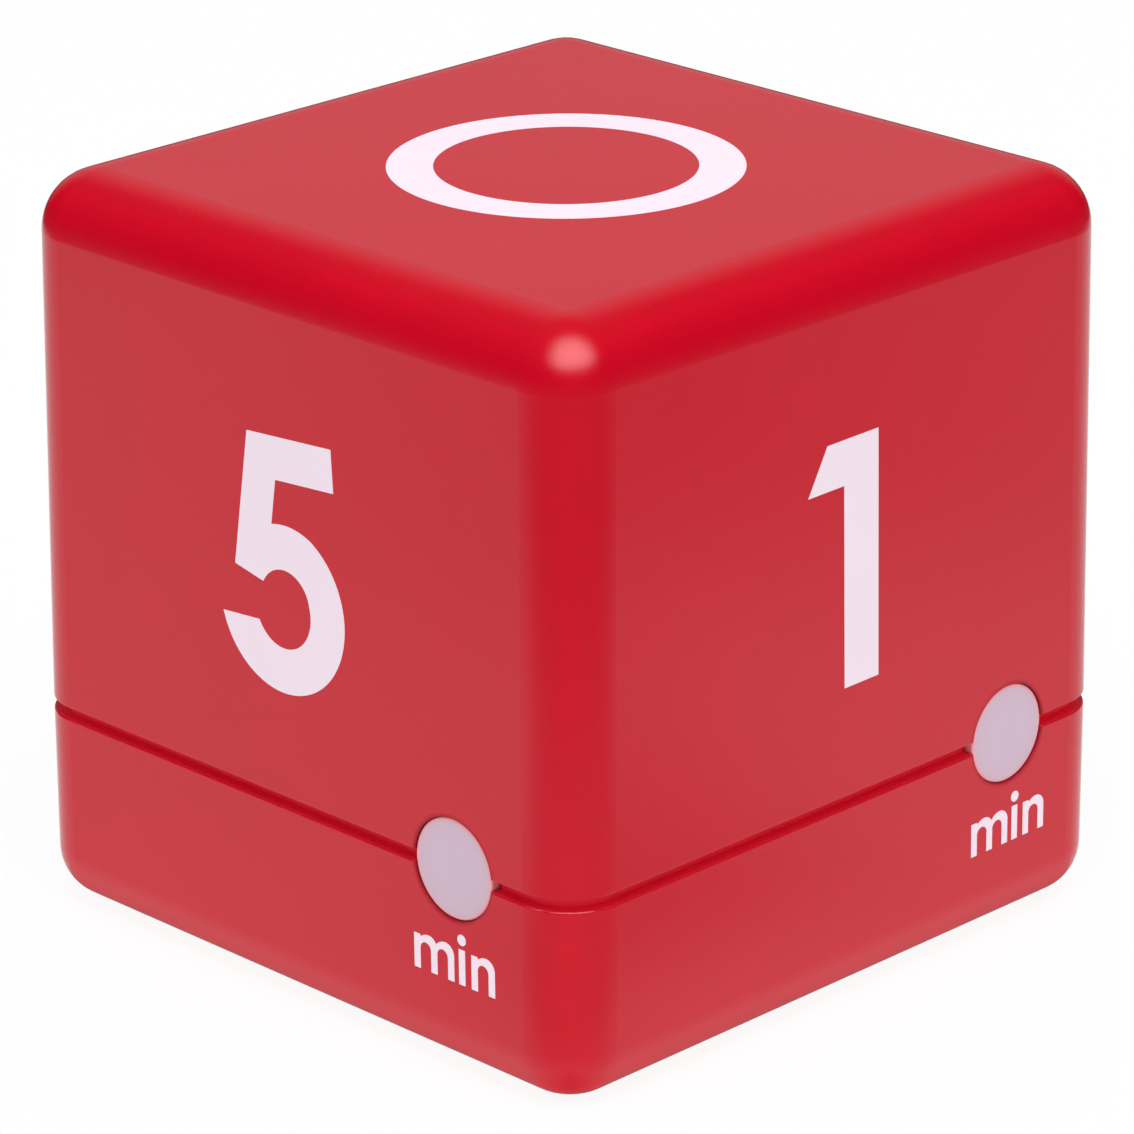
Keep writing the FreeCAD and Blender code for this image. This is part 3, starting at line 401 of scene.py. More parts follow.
def build_grain():
    """Fine pits and swells of a moulded, cast or sprayed surface, as a height from 0 to 1."""
    effect = Effect("grain", "Height", Scale=1500.0, Swell=0.2)
    scale = effect.given["Scale"]
    height = effect.add(effect.noise(scale, 4.0), effect.cells(scale, feature="SMOOTH_F1"), 0.4)
    broad = effect.noise(effect.times(scale, 0.03), 1.0)
    effect.end(effect.add(height, broad, effect.given["Swell"]))


def build_smudge():
    """Roughness that changes in soft patches, with small polished specks."""
    effect = Effect("smudge", "Roughness", Scale=60.0, Base=0.4, Spread=0.1)
    scale, spread = effect.given["Scale"], effect.given["Spread"]
    soft = effect.minus(effect.noise(scale, 3.0), 0.5)
    specks = effect.smooth(effect.noise(effect.times(scale, 40.0), 1.0), 0.68, 0.76)
    level = effect.add(effect.given["Base"], soft, effect.times(spread, 2.0))
    effect.end(effect.add(level, specks, effect.times(spread, -0.6)))


def build_hairlines():
    """Thin hairline scratches, from 0 to 1: where stretched noise crosses its middle value."""
    effect = Effect("hairlines", "Mask", Scale=90.0, Width=0.012)
    scale = effect.given["Scale"]
    found = 0.0
    for angle in (17.0, 64.0, 121.0):
        along = effect.placed(turn=(angle, angle * 0.7, angle), scale=(1.0, 0.04, 1.0))
        off = effect.math("ABSOLUTE", effect.minus(effect.noise(scale, 2.0, along), 0.5))
        off = effect.math("DIVIDE", off, effect.given["Width"])
        found = effect.most(found, effect.math("SUBTRACT", 1.0, off, clamp=True))
    gate = effect.smooth(effect.noise(scale, 1.0), 0.52, 0.62)
    effect.end(effect.times(found, gate))


def build_rubbed_edges():
    """Rubbed edges of a box-shaped part: 1 where two or more of its faces are near, broken by noise."""
    effect = Effect("rubbed edges", "Mask", Middle=(0, 0, 0), Half=(1, 1, 1), Reach=0.002)
    reach = effect.given["Reach"]
    past = effect.past_box(effect.given["Middle"], effect.given["Half"])
    x, y, z = (effect.add(value, reach) for value in past)
    pairs = [effect.math("MINIMUM", a, b) for a, b in ((x, y), (y, z), (z, x))]
    near = effect.most(effect.most(pairs[0], pairs[1]), pairs[2])
    share = effect.math("DIVIDE", near, reach, clamp=True)
    broken = effect.add(effect.times(effect.noise(110.0, 2.0), 0.5), effect.noise(900.0, 4.0), 0.5)
    effect.end(effect.smooth(effect.times(share, broken), 0.18, 0.52))


def build_dust():
    """Fine dust that lies on faces that look up."""
    effect = Effect("dust", "Mask", Amount=0.3)
    upward = effect.smooth(effect.parts(effect.put("NewGeometry").outputs["Normal"])[2], 0.6, 1.0)
    specks = effect.smooth(effect.noise(2600.0, 2.0), 0.66, 0.74)
    dusty = effect.add(specks, effect.noise(45.0, 4.0), 0.25)
    effect.end(effect.times(effect.times(dusty, upward), effect.given["Amount"]))


def build_printed_outline():
    """Line printed round a part's foot, where the distance outside a rounded rectangle comes near the line's
    own. It is the slope over the two ways past the middles of the corners, less their radius."""
    effect = Effect("printed outline", "Mask", Middle=(0, 0, 0), Half=(1, 1, 1), Corner=0.001,
                    Apart=0.0004, Line=0.00009)
    corner = effect.given["Corner"]
    past = effect.past_box(effect.given["Middle"], effect.given["Half"])
    sides = [effect.most(effect.add(value, corner), 0.0) for value in past[:2]]
    outside = effect.minus(effect.far(*sides), corner)
    from_line = effect.math("ABSOLUTE", effect.minus(outside, effect.given["Apart"]))
    from_line = effect.math("DIVIDE", from_line, effect.given["Line"])
    effect.end(effect.math("SUBTRACT", 1.5, from_line, clamp=True))


def build_brushed_lines():
    """Fine lines along X from rolling, drawing or brushing, as a height from 0 to 1."""
    effect = Effect("brushed lines", "Height", Scale=3000.0)
    effect.end(effect.noise(effect.given["Scale"], 3.0, effect.placed(scale=(0.02, 1.0, 1.0))))


# Finishes


class Finish(Nodes):
    """Material with a Principled shader, laid by Object coordinates."""

    def __init__(self, name, ior=1.46):
        self.material = bpy.data.materials.new(name)
        self.material.use_nodes = True
        super().__init__(self.material.node_tree)
        self.tree.nodes.clear()
        self.shader = self.put("BsdfPrincipled", {"IOR": ior})
        self.put("OutputMaterial", {"Surface": self.shader.outputs[0]})
        self.place = self.put("TexCoord").outputs["Object"]

    def give(self, **inputs):
        """Feeds the shader; a name's underscores stand for spaces."""
        for name, value in inputs.items():
            self.feed(self.shader.inputs[name.replace("_", " ")], value)
        return self.material

    def bump(self, height, depth):
        """Raises the surface by a height from 0 to 1 times a depth in millimetres."""
        made = self.put("Bump", {"Height": height, "Distance": depth * MM, "Strength": 1.0})
        return self.give(Normal=made.outputs[0])


def moulded(name, colour, roughness, grain, depth, spread=0.15):
    """Moulded plastic with a fine grain, slow colour change and patches of gloss."""
    plastic = Finish(name)
    plastic.base = plastic.use("mottle", Colour=colour, Scale=60.0, Spread=spread)
    plastic.rough = plastic.use("smudge", Scale=70.0, Base=roughness, Spread=0.06)
    plastic.give(Base_Color=plastic.base, Roughness=plastic.rough)
    plastic.bump(plastic.use("grain", Scale=1 / (grain * MM), Swell=0.4), depth)
    return plastic


def metal(name, colour, roughness, turn=(0, 0, 0), lines=0.12, depth=0.004):
    """Bare or plated metal, with brushed or drawn lines, faint stains and hairline scratches."""
    bare = Finish(name)
    streaks = bare.use("brushed lines", Place=bare.placed(turn), Scale=1 / (lines * MM))
    stain = bare.smooth(bare.noise(250.0, 4.0), 0.45, 0.75)
    dull = [0.72 * c for c in colour]
    base = bare.tint(bare.times(stain, 0.45), colour, dull)
    scratched = bare.use("hairlines", Scale=500.0, Width=0.02)
    rough = bare.add(bare.add(roughness - 0.08, streaks, 0.16), stain, 0.1)
    bare.give(Base_Color=base, Roughness=rough, Metallic=1.0)
    return bare.bump(bare.add(streaks, scratched, -0.6), depth)


def depth_in_case(red):
    """How far a place lies behind the case's sides and rounded upright edges, in metres."""
    flat = (CASE_HALF - CASE_EDGE) * MM
    past = [red.most(side, 0.0) for side in red.past_box((0, 0, 0), (flat, flat, flat))[:2]]
    return red.minus(CASE_EDGE * MM, red.far(*past))


def from_lens(red):
    """Distance in metres to the middle of the nearest light lens's face."""
    least = 1.0
    for count in range(len(SIDES)):
        turn = Matrix.Rotation(-90 * DEGREE * count, 3, "Z")
        middle = turn @ Vector((LIGHT_ACROSS, -CASE_HALF, LIGHT_HEIGHT)) * MM
        least = red.math("MINIMUM", least, red.vector("DISTANCE", red.place, middle[:], output="Value"))
    return least


def case_red():
    """Saturated red ABS, finely grained, a little polished and paler where fingers rub its edges, with
    painted shade at the outer edge of the split and painted light deeper in it, and painted shade round each
    lens hole."""
    red = Finish("case red")
    base = red.use("mottle", Colour=CASE_RED, Scale=45.0, Spread=0.03)
    half = CASE_HALF * MM
    rubbed = red.use("rubbed edges", Middle=(0, 0, CASE_HEIGHT * MM / 2), Half=(half, half, half),
                     Reach=CASE_EDGE * MM)
    base = red.tint(red.times(rubbed, 0.6), base, RUBBED_RED)
    height = red.parts()[2]
    # Painted shade at the split's outer edge and painted light deeper in, standing in for light through the
    # thin tongue
    gap = red.times(red.over(height, GAP_FOOT * MM), red.under(height, GAP_TOP * MM))
    deep = red.smooth(depth_in_case(red), 0.2 * MM, 0.9 * MM)
    base = red.tint(gap, base, red.tint(deep, GAP_PAINTED_SHADE_RED, GAP_PAINTED_LIGHT_RED))
    # Painted shade round each lens hole: a darker red band on the lip and a darker line at the hole's edge
    reach = from_lens(red)
    shaded_lip = red.smooth(reach, 4.3 * MM, 4.6 * MM, 1.0, 0.0)
    base = red.tint(shaded_lip, base, HOLE_LIP_PAINTED_SHADE)
    base = red.tint(red.smooth(reach, 4.16 * MM, 4.28 * MM, 1.0, 0.0), base, HOLE_EDGE_PAINTED_SHADE)
    base = red.tint(red.use("dust", Amount=0.03), base, DUST)
    scratched = red.use("hairlines", Scale=55.0, Width=0.006)
    rough = red.add(red.use("smudge", Scale=55.0, Base=0.19, Spread=0.02), rubbed, -0.03)
    rough = red.add(red.add(rough, scratched, 0.02), red.most(gap, shaded_lip), 0.4)
    red.give(Base_Color=base, Roughness=rough)
    return red.bump(red.add(red.use("grain", Scale=2200.0, Swell=0.6), scratched, -0.04), 0.006)


def lens_white(side):
    """Milky diffuser, painted lilac and, towards its rim, pinker: painted red light from the case, with a
    painted pink highlight on the rim itself.
    """
    milk = Finish("lens " + side, ior=1.49)
    x, y, z = milk.parts(milk.placed(turn=(0, 0, 90 * SIDES.index(side))))
    across = milk.minus(x, LIGHT_ACROSS * MM)
    up = milk.minus(z, LIGHT_HEIGHT * MM)
    share = milk.math("DIVIDE", milk.far(across, up), LENS_RADIUS * MM)
    # Painted light: lilac over the whole face, pinker towards the rim, and a pink highlight on the rim
    hazy = milk.use("mottle", Colour=LENS_PAINTED_LILAC, Scale=180.0, Spread=0.03)
    red_lit = milk.tint(milk.smooth(share, 0.35, 0.95), hazy, LENS_PAINTED_RED_LIGHT)
    rim = milk.times(milk.smooth(share, 0.91, 0.95), milk.under(y, LENS_FLANGE_Y * MM))
    rough = milk.add(milk.use("smudge", Scale=300.0, Base=0.24, Spread=0.05), rim, -0.12)
    milk.give(Base_Color=milk.tint(rim, red_lit, LENS_PAINTED_RIM_HIGHLIGHT), Roughness=rough)
    return milk.bump(milk.use("grain", Scale=2500.0, Swell=1.0), 0.0015)


def figure_ink():
    """White pad-printed ink with pinholes and a faint tint from the red under it."""
    ink = Finish("figure ink")
    base = ink.use("mottle", Colour=INK_WHITE, Scale=140.0, Spread=0.02)
    thin = ink.smooth(ink.noise(2000.0, 3.0), 0.66, 0.76)
    rough = ink.use("smudge", Scale=90.0, Base=0.46, Spread=0.06)
    ink.give(Base_Color=ink.tint(ink.times(thin, 0.12), base, INK_THIN), Roughness=rough)
    return ink.bump(ink.use("grain", Scale=2600.0, Swell=0.4), 0.005)


def diode_white(side):
    """Diffused epoxy of a light diode, with tinned legs behind it."""
    epoxy = moulded("diode " + side, (0.85, 0.86, 0.80), 0.22, grain=0.8, depth=0.003, spread=0.05)
    place = epoxy.placed(turn=(0, 0, 90 * SIDES.index(side)))
    leg = epoxy.over(epoxy.parts(place)[1], DIODE_BACK * MM)
    streaks = epoxy.use("brushed lines", Place=place, Scale=9000.0)
    base = epoxy.tint(leg, epoxy.base, epoxy.tint(streaks, LEG_DARK, LEG_LIGHT))
    return epoxy.give(Base_Color=base, Metallic=leg, Roughness=epoxy.add(epoxy.rough, leg, 0.12))


def knob_black():
    """Black acetal of the slider and the buzzer, with rubbed ridges."""
    black = moulded("knob black", (0.022, 0.022, 0.024), 0.42, grain=0.3, depth=0.008)
    scratched = black.use("hairlines", Scale=400.0, Width=0.015)
    return black.give(Base_Color=black.tint(black.times(scratched, 0.35), black.base, KNOB_WORN))


def board_tracks(board):
    """Copper under the resist, from 0 to 1: lengthwise tracks in some areas, crosswise ones in others, and
    whole sheets of copper with a bare line round them."""
    area = board.noise(1 / (13.0 * MM), 0.0)
    rows = {"Scale": 1.0, "Mortar Size": 0.25 * MM, "Mortar Smooth": 0.2, "Brick Width": 17.0 * MM,
            "Row Height": 1.1 * MM}
    lengthwise, crosswise = (
        board.put("TexBrick", {"Vector": place, **rows}, offset=offset).outputs["Fac"]
        for place, offset in ((board.place, 0.37), (board.placed(turn=(0, 0, 90)), 0.29)))
    tracks = board.mix(board.over(area, 0.47), lengthwise, crosswise)
    tracks = board.times(tracks, board.smooth(area, 0.555, 0.55))
    return board.most(tracks, board.smooth(area, 0.575, 0.58))


def board_print(board):
    """White outlines printed on the board round the feet of its parts, above and beneath."""
    above = {("tilt_can_" + side, "tilt_base_" + side): 0.5 for side in SIDES}
    above.update({("light_diode_" + side,): 0.5 for side in SIDES})
    above.update({("capacitor",): 2.5, ("controller",): 6.0, ("crystal",): 0.4, ("chip_resistors",): 0.4})
    beneath = {("buzzer_case",): 6.0, ("switch_case",): 0.4}
    height = board.parts()[2]
    low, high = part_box("main_board")
    on_face = board.over(height, high.z - 0.05 * MM)
    on_back = board.under(height, low.z + 0.05 * MM)
    printed = 0.0
    for outlined, shown in ((above, on_face), (beneath, on_back)):
        for names, corner in outlined.items():
            least = [min(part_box(name)[0][axis] for name in names) for axis in range(3)]
            most = [max(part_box(name)[1][axis] for name in names) for axis in range(3)]
            middle = [(a + b) / 2 for a, b in zip(least, most)]
            half = [(b - a) / 2 for a, b in zip(least, most)]
            mark = board.use("printed outline", Middle=middle, Half=half, Corner=corner * MM)
            printed = board.most(printed, board.times(mark, shown))
    return printed


def board_green():
    """Solder resist over copper: tracks show as raised, paler lines, with tinned spots and white outlines."""
    board = Finish("board green", ior=1.5)
    dark = board.use("mottle", Colour=RESIST_GREEN, Scale=80.0, Spread=0.08)
    tracks = board_tracks(board)
    base = board.tint(board.times(tracks, 0.75), dark, TRACK_GREEN)
    dots = board.put("TexVoronoi", {"Vector": board.place, "Scale": 330.0, "Randomness": 0.55})
    pads = board.smooth(dots.outputs["Distance"], 0.16, 0.12)
    base = board.tint(pads, base, BOARD_TIN)
    base = board.tint(board_print(board), base, BOARD_INK)
    rough = board.use("smudge", Scale=120.0, Base=0.30, Spread=0.08)
    board.give(Base_Color=base, Roughness=rough, Metallic=board.times(pads, 0.9))
    return board.bump(board.math("ADD", tracks, pads, clamp=True), 0.03)


def resin_black():
    """Poured resin: glossy, with a few small sunk bubbles."""
    resin = moulded("resin black", (0.012, 0.012, 0.013), 0.18, grain=1.5, depth=0.004, spread=0.2)
    return resin.bump(resin.minus(1.0, resin.smooth(resin.cells(700.0), 0.14, 0.05)), 0.05)


def chip_ceramic():
    """Small chips, 2.6 mm apart along X from one at 9 mm: black glaze between tinned ends."""
    chip = Finish("chip ceramic")
    pitch, first = 2.6 * MM, 9.0 * MM
    along = chip.math("MODULO", chip.add(pitch / 2 - first, chip.parts()[0]), pitch)
    from_middle = chip.math("ABSOLUTE", chip.minus(along, pitch / 2))
    ends = chip.smooth(from_middle, 0.5 * MM, 0.54 * MM)
    body = chip.use("mottle", Colour=CHIP_BLACK, Scale=900.0, Spread=0.2)
    rough = chip.use("smudge", Scale=800.0, Base=0.35, Spread=0.1)
    chip.give(Base_Color=chip.tint(ends, body, CHIP_TIN), Roughness=rough, Metallic=chip.times(ends, 0.95))
    return chip.bump(chip.use("grain", Scale=4000.0, Swell=0.3), 0.01)


def foam_grey():
    """Closed-cell foam: bubbles of unlike size, with painted shade darkening their pits."""
    foam = Finish("foam grey")
    # Painted shade in the pits of the bubbles
    pits = foam.smooth(foam.cells(2600.0), 0.15, 0.6)
    base = foam.use("mottle", Colour=foam.tint(pits, FOAM_PIT_PAINTED_SHADE, FOAM_WALL), Scale=150.0, Spread=0.12)
    foam.give(Base_Color=base, Roughness=foam.use("smudge", Scale=200.0, Base=0.92, Spread=0.05))
    return foam.bump(pits, 0.08)


def cell_wrap(name, way):
    """Printed shrink wrap: dark body, pale band with a plus at the positive end, a stripe beside it, a minus
    and a ring at the other end, and bare metal ends."""
    wrap = Finish("wrap " + name)
    low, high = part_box(name)
    tip = high.x if way > 0 else low.x
    x, y, z = wrap.parts()
    from_tip = wrap.times(wrap.minus(x, tip), -way / MM)
    across = wrap.minus(y, (low.y + high.y) / 2)
    radius = wrap.far(across, wrap.minus(z, (low.z + high.z) / 2))
    thin, wide = (wrap.near(across, 0.0, half * MM) for half in (SIGN_STROKE / 2, SIGN_SIZE / 2))
    pale = wrap.under(from_tip, BAND_END)
    stripe = wrap.near(from_tip, STRIPE_MIDDLE, STRIPE_WIDTH / 2)
    ring = wrap.near(from_tip, RING_MIDDLE, RING_WIDTH / 2)
    lengthwise = wrap.times(wrap.near(from_tip, PLUS_MIDDLE, SIGN_SIZE / 2), thin)
    crosswise = wrap.times(wrap.near(from_tip, PLUS_MIDDLE, SIGN_STROKE / 2), wide)
    plus = wrap.times(wrap.most(lengthwise, crosswise), pale)
    minus = wrap.times(wrap.near(from_tip, MINUS_MIDDLE, SIGN_STROKE / 2), wide)
    base = wrap.use("mottle", Colour=CELL_BODY, Scale=90.0, Spread=0.10)
    for share, colour in ((pale, CELL_BAND), (stripe, CELL_STRIPE), (ring, CELL_BAND), (plus, CELL_BODY),
                          (minus, CELL_BAND)):
        base = wrap.tint(share, base, colour)
    between = wrap.times(wrap.over(from_tip, WRAP_START), wrap.under(from_tip, WRAP_END))
    wrapped = wrap.times(wrap.over(radius, WRAP_EDGE_RADIUS * MM), between)
    steel = wrap.use("mottle", Colour=CELL_STEEL, Scale=400.0, Spread=0.15)
    base = wrap.tint(wrapped, steel, base)
    scratched = wrap.use("hairlines", Scale=160.0, Width=0.004)
    base = wrap.tint(wrap.times(scratched, 0.08), base, CELL_SCRATCH)
    rough = wrap.use("smudge", Scale=120.0, Base=0.28, Spread=0.08)
    wrap.give(Base_Color=base, Roughness=rough, Metallic=wrap.add(1.0, wrapped, -0.75))
    return wrap.bump(wrap.use("grain", Scale=700.0, Swell=1.0), 0.006)


def window_clear():
    """Clear window, with dust specks and hairlines that only its gloss shows."""
    clear = Finish("window clear", ior=1.49)
    scratched = clear.use("hairlines", Scale=120.0, Width=0.006)
    rough = clear.add(clear.use("smudge", Scale=80.0, Base=0.04, Spread=0.025), scratched, 0.2)
    tint = clear.use("mottle", Colour=WINDOW_TINT, Scale=50.0, Spread=0.01)
    clear.give(Base_Color=tint, Roughness=rough, Transmission_Weight=1.0)
    return clear.bump(clear.use("grain", Scale=60.0, Swell=0.2), 0.002)


def glass_grey():
    """Reflective display: grey green, with a fine weave of cell lines and a darker sealed border."""
    glass = Finish("glass grey", ior=1.52)
    base = glass.use("mottle", Colour=GLASS_GREY, Scale=70.0, Spread=0.04)
    low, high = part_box("display_cell")
    middle, half = (low + high) / 2, (high - low) / 2
    border = glass.use("rubbed edges", Middle=middle[:], Half=half[:], Reach=1.2 * MM)
    base = glass.tint(glass.times(border, 0.4), base, GLASS_SEAL)
    fibres = glass.noise(1 / (0.12 * MM), 2.0, glass.placed(scale=(1.0, 0.08, 1.0)))
    base = glass.tint(glass.times(fibres, 0.15), base, GLASS_FIBRE)
    glass.give(Base_Color=base, Roughness=glass.use("smudge", Scale=90.0, Base=0.16, Spread=0.05))
    return glass.bump(fibres, 0.002)


def segment_grey():
    """Resting segments of the display, a little darker than its ground."""
    grey = Finish("segment grey", ior=1.52)
    base = grey.use("mottle", Colour=SEGMENT_GREY, Scale=400.0, Spread=0.08)
    grey.give(Base_Color=base, Roughness=grey.use("smudge", Scale=90.0, Base=0.2, Spread=0.05))
    return grey.bump(grey.use("grain", Scale=4000.0, Swell=0.2), 0.002)


def striped(name, axis, pitch, steps, colours, mottle, rough, depth, metallic=0.0, ior=1.46):
    """Raised stripes along an axis, a pitch in millimetres apart: a sine, smoothed between two steps."""
    lined = Finish(name, ior=ior)
    wave = lined.math("SINE", lined.times(lined.parts()[axis], 2 * math.pi / (pitch * MM)))
    level = lined.smooth(wave, *steps)
    base = lined.use("mottle", Colour=lined.tint(level, *colours), **mottle)
    gloss = lined.use("smudge", Base=0.3, Spread=0.08, **rough)
    lined.give(Base_Color=base, Roughness=gloss, Metallic=metallic)
    return lined.bump(level, depth)


def ribbon_amber():
    """Amber film with fine dark tracks along its length."""
    return striped("ribbon amber", 0, 0.8, (-0.1, 0.2), (FILM_AMBER, FILM_TRACK),
                   {"Scale": 200.0, "Spread": 0.08}, {"Scale": 150.0}, depth=0.02, ior=1.5)


def winding_copper():
    """Enamelled winding: fine turns round an upright axis."""
    return striped("winding copper", 2, 0.12, (-1.0, 1.0), (WIRE_SHADE, WIRE_COPPER),
                   {"Scale": 500.0, "Spread": 0.1}, {"Scale": 400.0}, depth=0.05, metallic=0.85)


# Outlines, in millimetres across and up a face


def arc(middle, radius, start, end):
    """Points of a circle about a middle, from one angle to another in degrees, ends included. Two radii,
    across and up, make it an oval."""
    count = max(2, math.ceil(abs(end - start) / ARC_STEP) + 1)
    angle = np.radians(np.linspace(start, end, count))
    return middle + np.multiply(radius, np.stack([np.cos(angle), np.sin(angle)], 1))


def oval(middle, half_width, half_height, power=2.0):
    """Superellipse: |x / half width| and |y / half height| to a power add up to 1."""
    angle = np.radians(np.arange(0, 360, ARC_STEP))
    c, s = np.cos(angle), np.sin(angle)
    x = half_width * np.sign(c) * np.abs(c) ** (2 / power)
    y = half_height * np.sign(s) * np.abs(s) ** (2 / power)
    return np.stack([x, y], 1) + middle


def line(*pieces):
    """One outline out of corners and arcs, in their order."""
    return np.concatenate([np.atleast_2d(np.array(piece, float)) for piece in pieces])


def turned(outline, angle):
    """Outline turned counter-clockwise by degrees about its origin."""
    c, s = math.cos(DEGREE * angle), math.sin(DEGREE * angle)
    return outline @ np.array([[c, s], [-s, c]])


def figure_one_outline():
    """Straight stem whose right side is at 0, with a sloped flag at its top."""
    return line((0, 0), (0, FIGURE_HEIGHT), (-ONE_SHOULDER, FIGURE_HEIGHT), (-ONE_WIDTH, ONE_FLAG),
                (-STROKE, ONE_FLAG), (-STROKE, 0))


def figure_five_outline():
    """Level bar, leaning stem and a bowl; 0 is the bowl's middle. The bowl and its hole are each two arcs of
    unlike middles, so the upper part is a little flatter."""
    return line((FIVE_TOP_RIGHT, FIVE_TOP), FIVE_STEM_TOP, FIVE_STEM_FOOT,
                arc(FIVE_VAULT_OFF, FIVE_VAULT, 148, 9),
                arc(FIVE_HOLE_OFF, FIVE_HOLE, 13, -156),
                arc((0, 0), FIVE_BOWL, -168, 57),
                arc(FIVE_CREST_OFF, FIVE_CREST, 61, 101),
                (FIVE_STEM_RIGHT, FIVE_BAR_FOOT), (FIVE_BAR_RIGHT, FIVE_BAR_FOOT))


def arch_outline(count):
    """Letter n, or m for a count of 2: a stem and arches. An arch is round inside. Outside it is a quarter
    circle right of its crest and a flatter circle left of it, down to the notch beside the stem."""
    inner = (WORD_PITCH - WORD_STROKE) / 2
    outer = 2 * (WORD_STROKE + inner) - WORD_CREST
    middle = WORD_ARCH - WORD_STROKE - inner
    pieces = [(0, 0), (WORD_STROKE, 0)]
    for step in range(count):
        centre = (step * WORD_PITCH + WORD_STROKE + inner, middle)
        pieces += [arc(centre, inner, 180, 0), (centre[0] + inner, 0), (centre[0] + inner + WORD_STROKE, 0)]
    crotch = math.acos(WORD_CROTCH / outer) / DEGREE
    for step in reversed(range(count)):
        crest = step * WORD_PITCH + WORD_CREST
        reach = WORD_NOTCH if step == 0 else WORD_PITCH - WORD_CROTCH
        notch = 180 - math.acos(reach / WORD_SLOPE) / DEGREE
        right = arc((crest, WORD_ARCH - outer), outer, 0 if step == count - 1 else crotch, 90)
        left = arc((crest, WORD_ARCH - WORD_SLOPE), WORD_SLOPE, 90, notch)
        pieces += [right, left[1:]]
    return line(*pieces, (WORD_STROKE - WORD_STEM_NARROWER, WORD_STEM), (0, WORD_STEM))


def bar(left, right, foot, top):
    """Rectangle."""
    return line((left, foot), (right, foot), (right, top), (left, top))


def segment(middle, length, upright):
    """Display segment: a bar whose two ends come to a point."""
    long, half = length / 2 - SEGMENT_GAP, SEGMENT / 2
    shape = line((-long, 0), (half - long, -half), (long - half, -half), (long, 0), (long - half, half),
                 (half - long, half))
    if upright:
        shape = shape[:, ::-1] * (-1, 1)
    return shape + middle


# Meshes


def net(rows, columns, ring=False):
    """Four-cornered faces between neighbouring rows, whose columns close; ring joins the last row to the
    first."""
    row = np.arange(rows if ring else rows - 1)[:, None]
    column = np.arange(columns)[None, :]
    above, ahead = (row + 1) % rows, (column + 1) % columns
    faces = np.stack(np.broadcast_arrays(row * columns + column, row * columns + ahead,
                                         above * columns + ahead, above * columns + column), -1)
    return faces.reshape(-1, 4).tolist()


def lifted(outlines, heights):
    """Rows of points: each outline with the height of its row above the face."""
    rows = [np.column_stack([outline, np.full(len(outline), height)])
            for outline, height in zip(outlines, heights)]
    return np.concatenate(rows)


def capped(rows, columns):
    """Net with a cap over its first row and its last one."""
    count = rows * columns
    return net(rows, columns) + [list(range(columns))[::-1], list(range(count - columns, count))]


def layer(outline, proud=INK, sink=INK_SINK):
    """Closed layer of ink: the outline below and above the face, a wall between them and a cap on each."""
    return lifted([outline, outline], [-sink, proud]), capped(2, len(outline))


def band(outer, inner, proud=INK, sink=INK_SINK):
    """Closed ring of ink: rows round its outer wall, over its face and down its inner wall."""
    points = lifted([outer, outer, inner, inner], [-sink, proud, proud, -sink])
    return points, net(4, len(outer), ring=True)


def add_piece(name, layers, place, material, body="case", soft_shading=False):
    """One piece out of layers, each (across, up, out) in millimetres, put on the object by place."""
    corners, faces, count = [], [], 0
    for points, around in layers:
        corners.append(place(points))
        faces += [[corner + count for corner in face] for face in around]
        count += len(points)
    mesh = bpy.data.meshes.new(name)
    mesh.from_pydata((np.concatenate(corners) * MM).tolist(), [], faces)
    mesh.polygons.foreach_set("use_smooth", [soft_shading] * len(faces))
    mesh.materials.append(material)
    mesh.update()
    made = bpy.data.objects.new(name, mesh)
    bpy.context.scene.collection.objects.link(made)
    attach(made, body)
    return made


def on_side(side):
    """Place on a side face, which leans in above the split: out from it, then turned round to its side."""
    turn = -90 * DEGREE * SIDES.index(side)
    c, s = math.cos(turn), math.sin(turn)

    def place(points):
        across, up, out = points.T
        lean = CASE_DRAW_IN * np.clip(up - SPLIT_TOP, 0, None) / (CASE_HEIGHT - SPLIT_TOP)
        away = lean - CASE_HALF - out
        return np.column_stack([c * across - s * away, s * across + c * away, up])

    return place


def on_top(points):
    """Place on the top face."""
    return points + (0, 0, CASE_HEIGHT)


def below(height):
    """Place on a face that looks down, read with the front of the case upwards."""
    return lambda points: points * (1, -1, -1) + (0, 0, height)


# Pieces of the scene


def add_figures(ink):
    """0 on top, 1 in front, 5 on the left, 10 behind and 15 on the right, and a word under each light."""
    ring = band(oval((0, 0), RING_OUTER, RING_OUTER), oval((0, 0), RING_INNER, RING_INNER))
    add_piece("figure_zero", [ring], on_top, ink)
    one = figure_one_outline()
    five = figure_five_outline()
    front = turned(one, ONE_TILT) + (ONE_RIGHT, FIGURE_FOOT)
    add_piece("figure_one", [layer(front)], on_side("front"), ink)
    left = turned(five, FIVE_TILT) + (FIVE_ACROSS, FIVE_BOWL_HEIGHT)
    add_piece("figure_five", [layer(left)], on_side("left"), ink)
    half = (ONE_WIDTH + TEN_GAP + 2 * ZERO_HALF) / 2
    zero = (half - ZERO_HALF, FIGURE_FOOT + FIGURE_HEIGHT / 2)
    zero_outer = oval(zero, ZERO_HALF, FIGURE_HEIGHT / 2 + ROUND_PAST, ZERO_POWER)
    zero_inner = oval(zero, ZERO_HALF - STROKE, FIGURE_HEIGHT / 2 - STROKE + ZERO_HOLE_RISE, ZERO_POWER)
    ten = [layer(one + (ONE_WIDTH - half, FIGURE_FOOT)), band(zero_outer, zero_inner)]
    add_piece("figure_ten", ten, on_side("back"), ink)
    half = (ONE_WIDTH + FIFTEEN_GAP + 2 * FIVE_BOWL) / 2
    fifteen = [layer(one + (ONE_WIDTH - half, FIGURE_FOOT)),
               layer(five + (half - FIVE_BOWL, FIGURE_FOOT + FIVE_BOWL - ROUND_PAST))]
    add_piece("figure_fifteen", fifteen, on_side("right"), ink)
    for side in SIDES:
        add_word(side, ink)


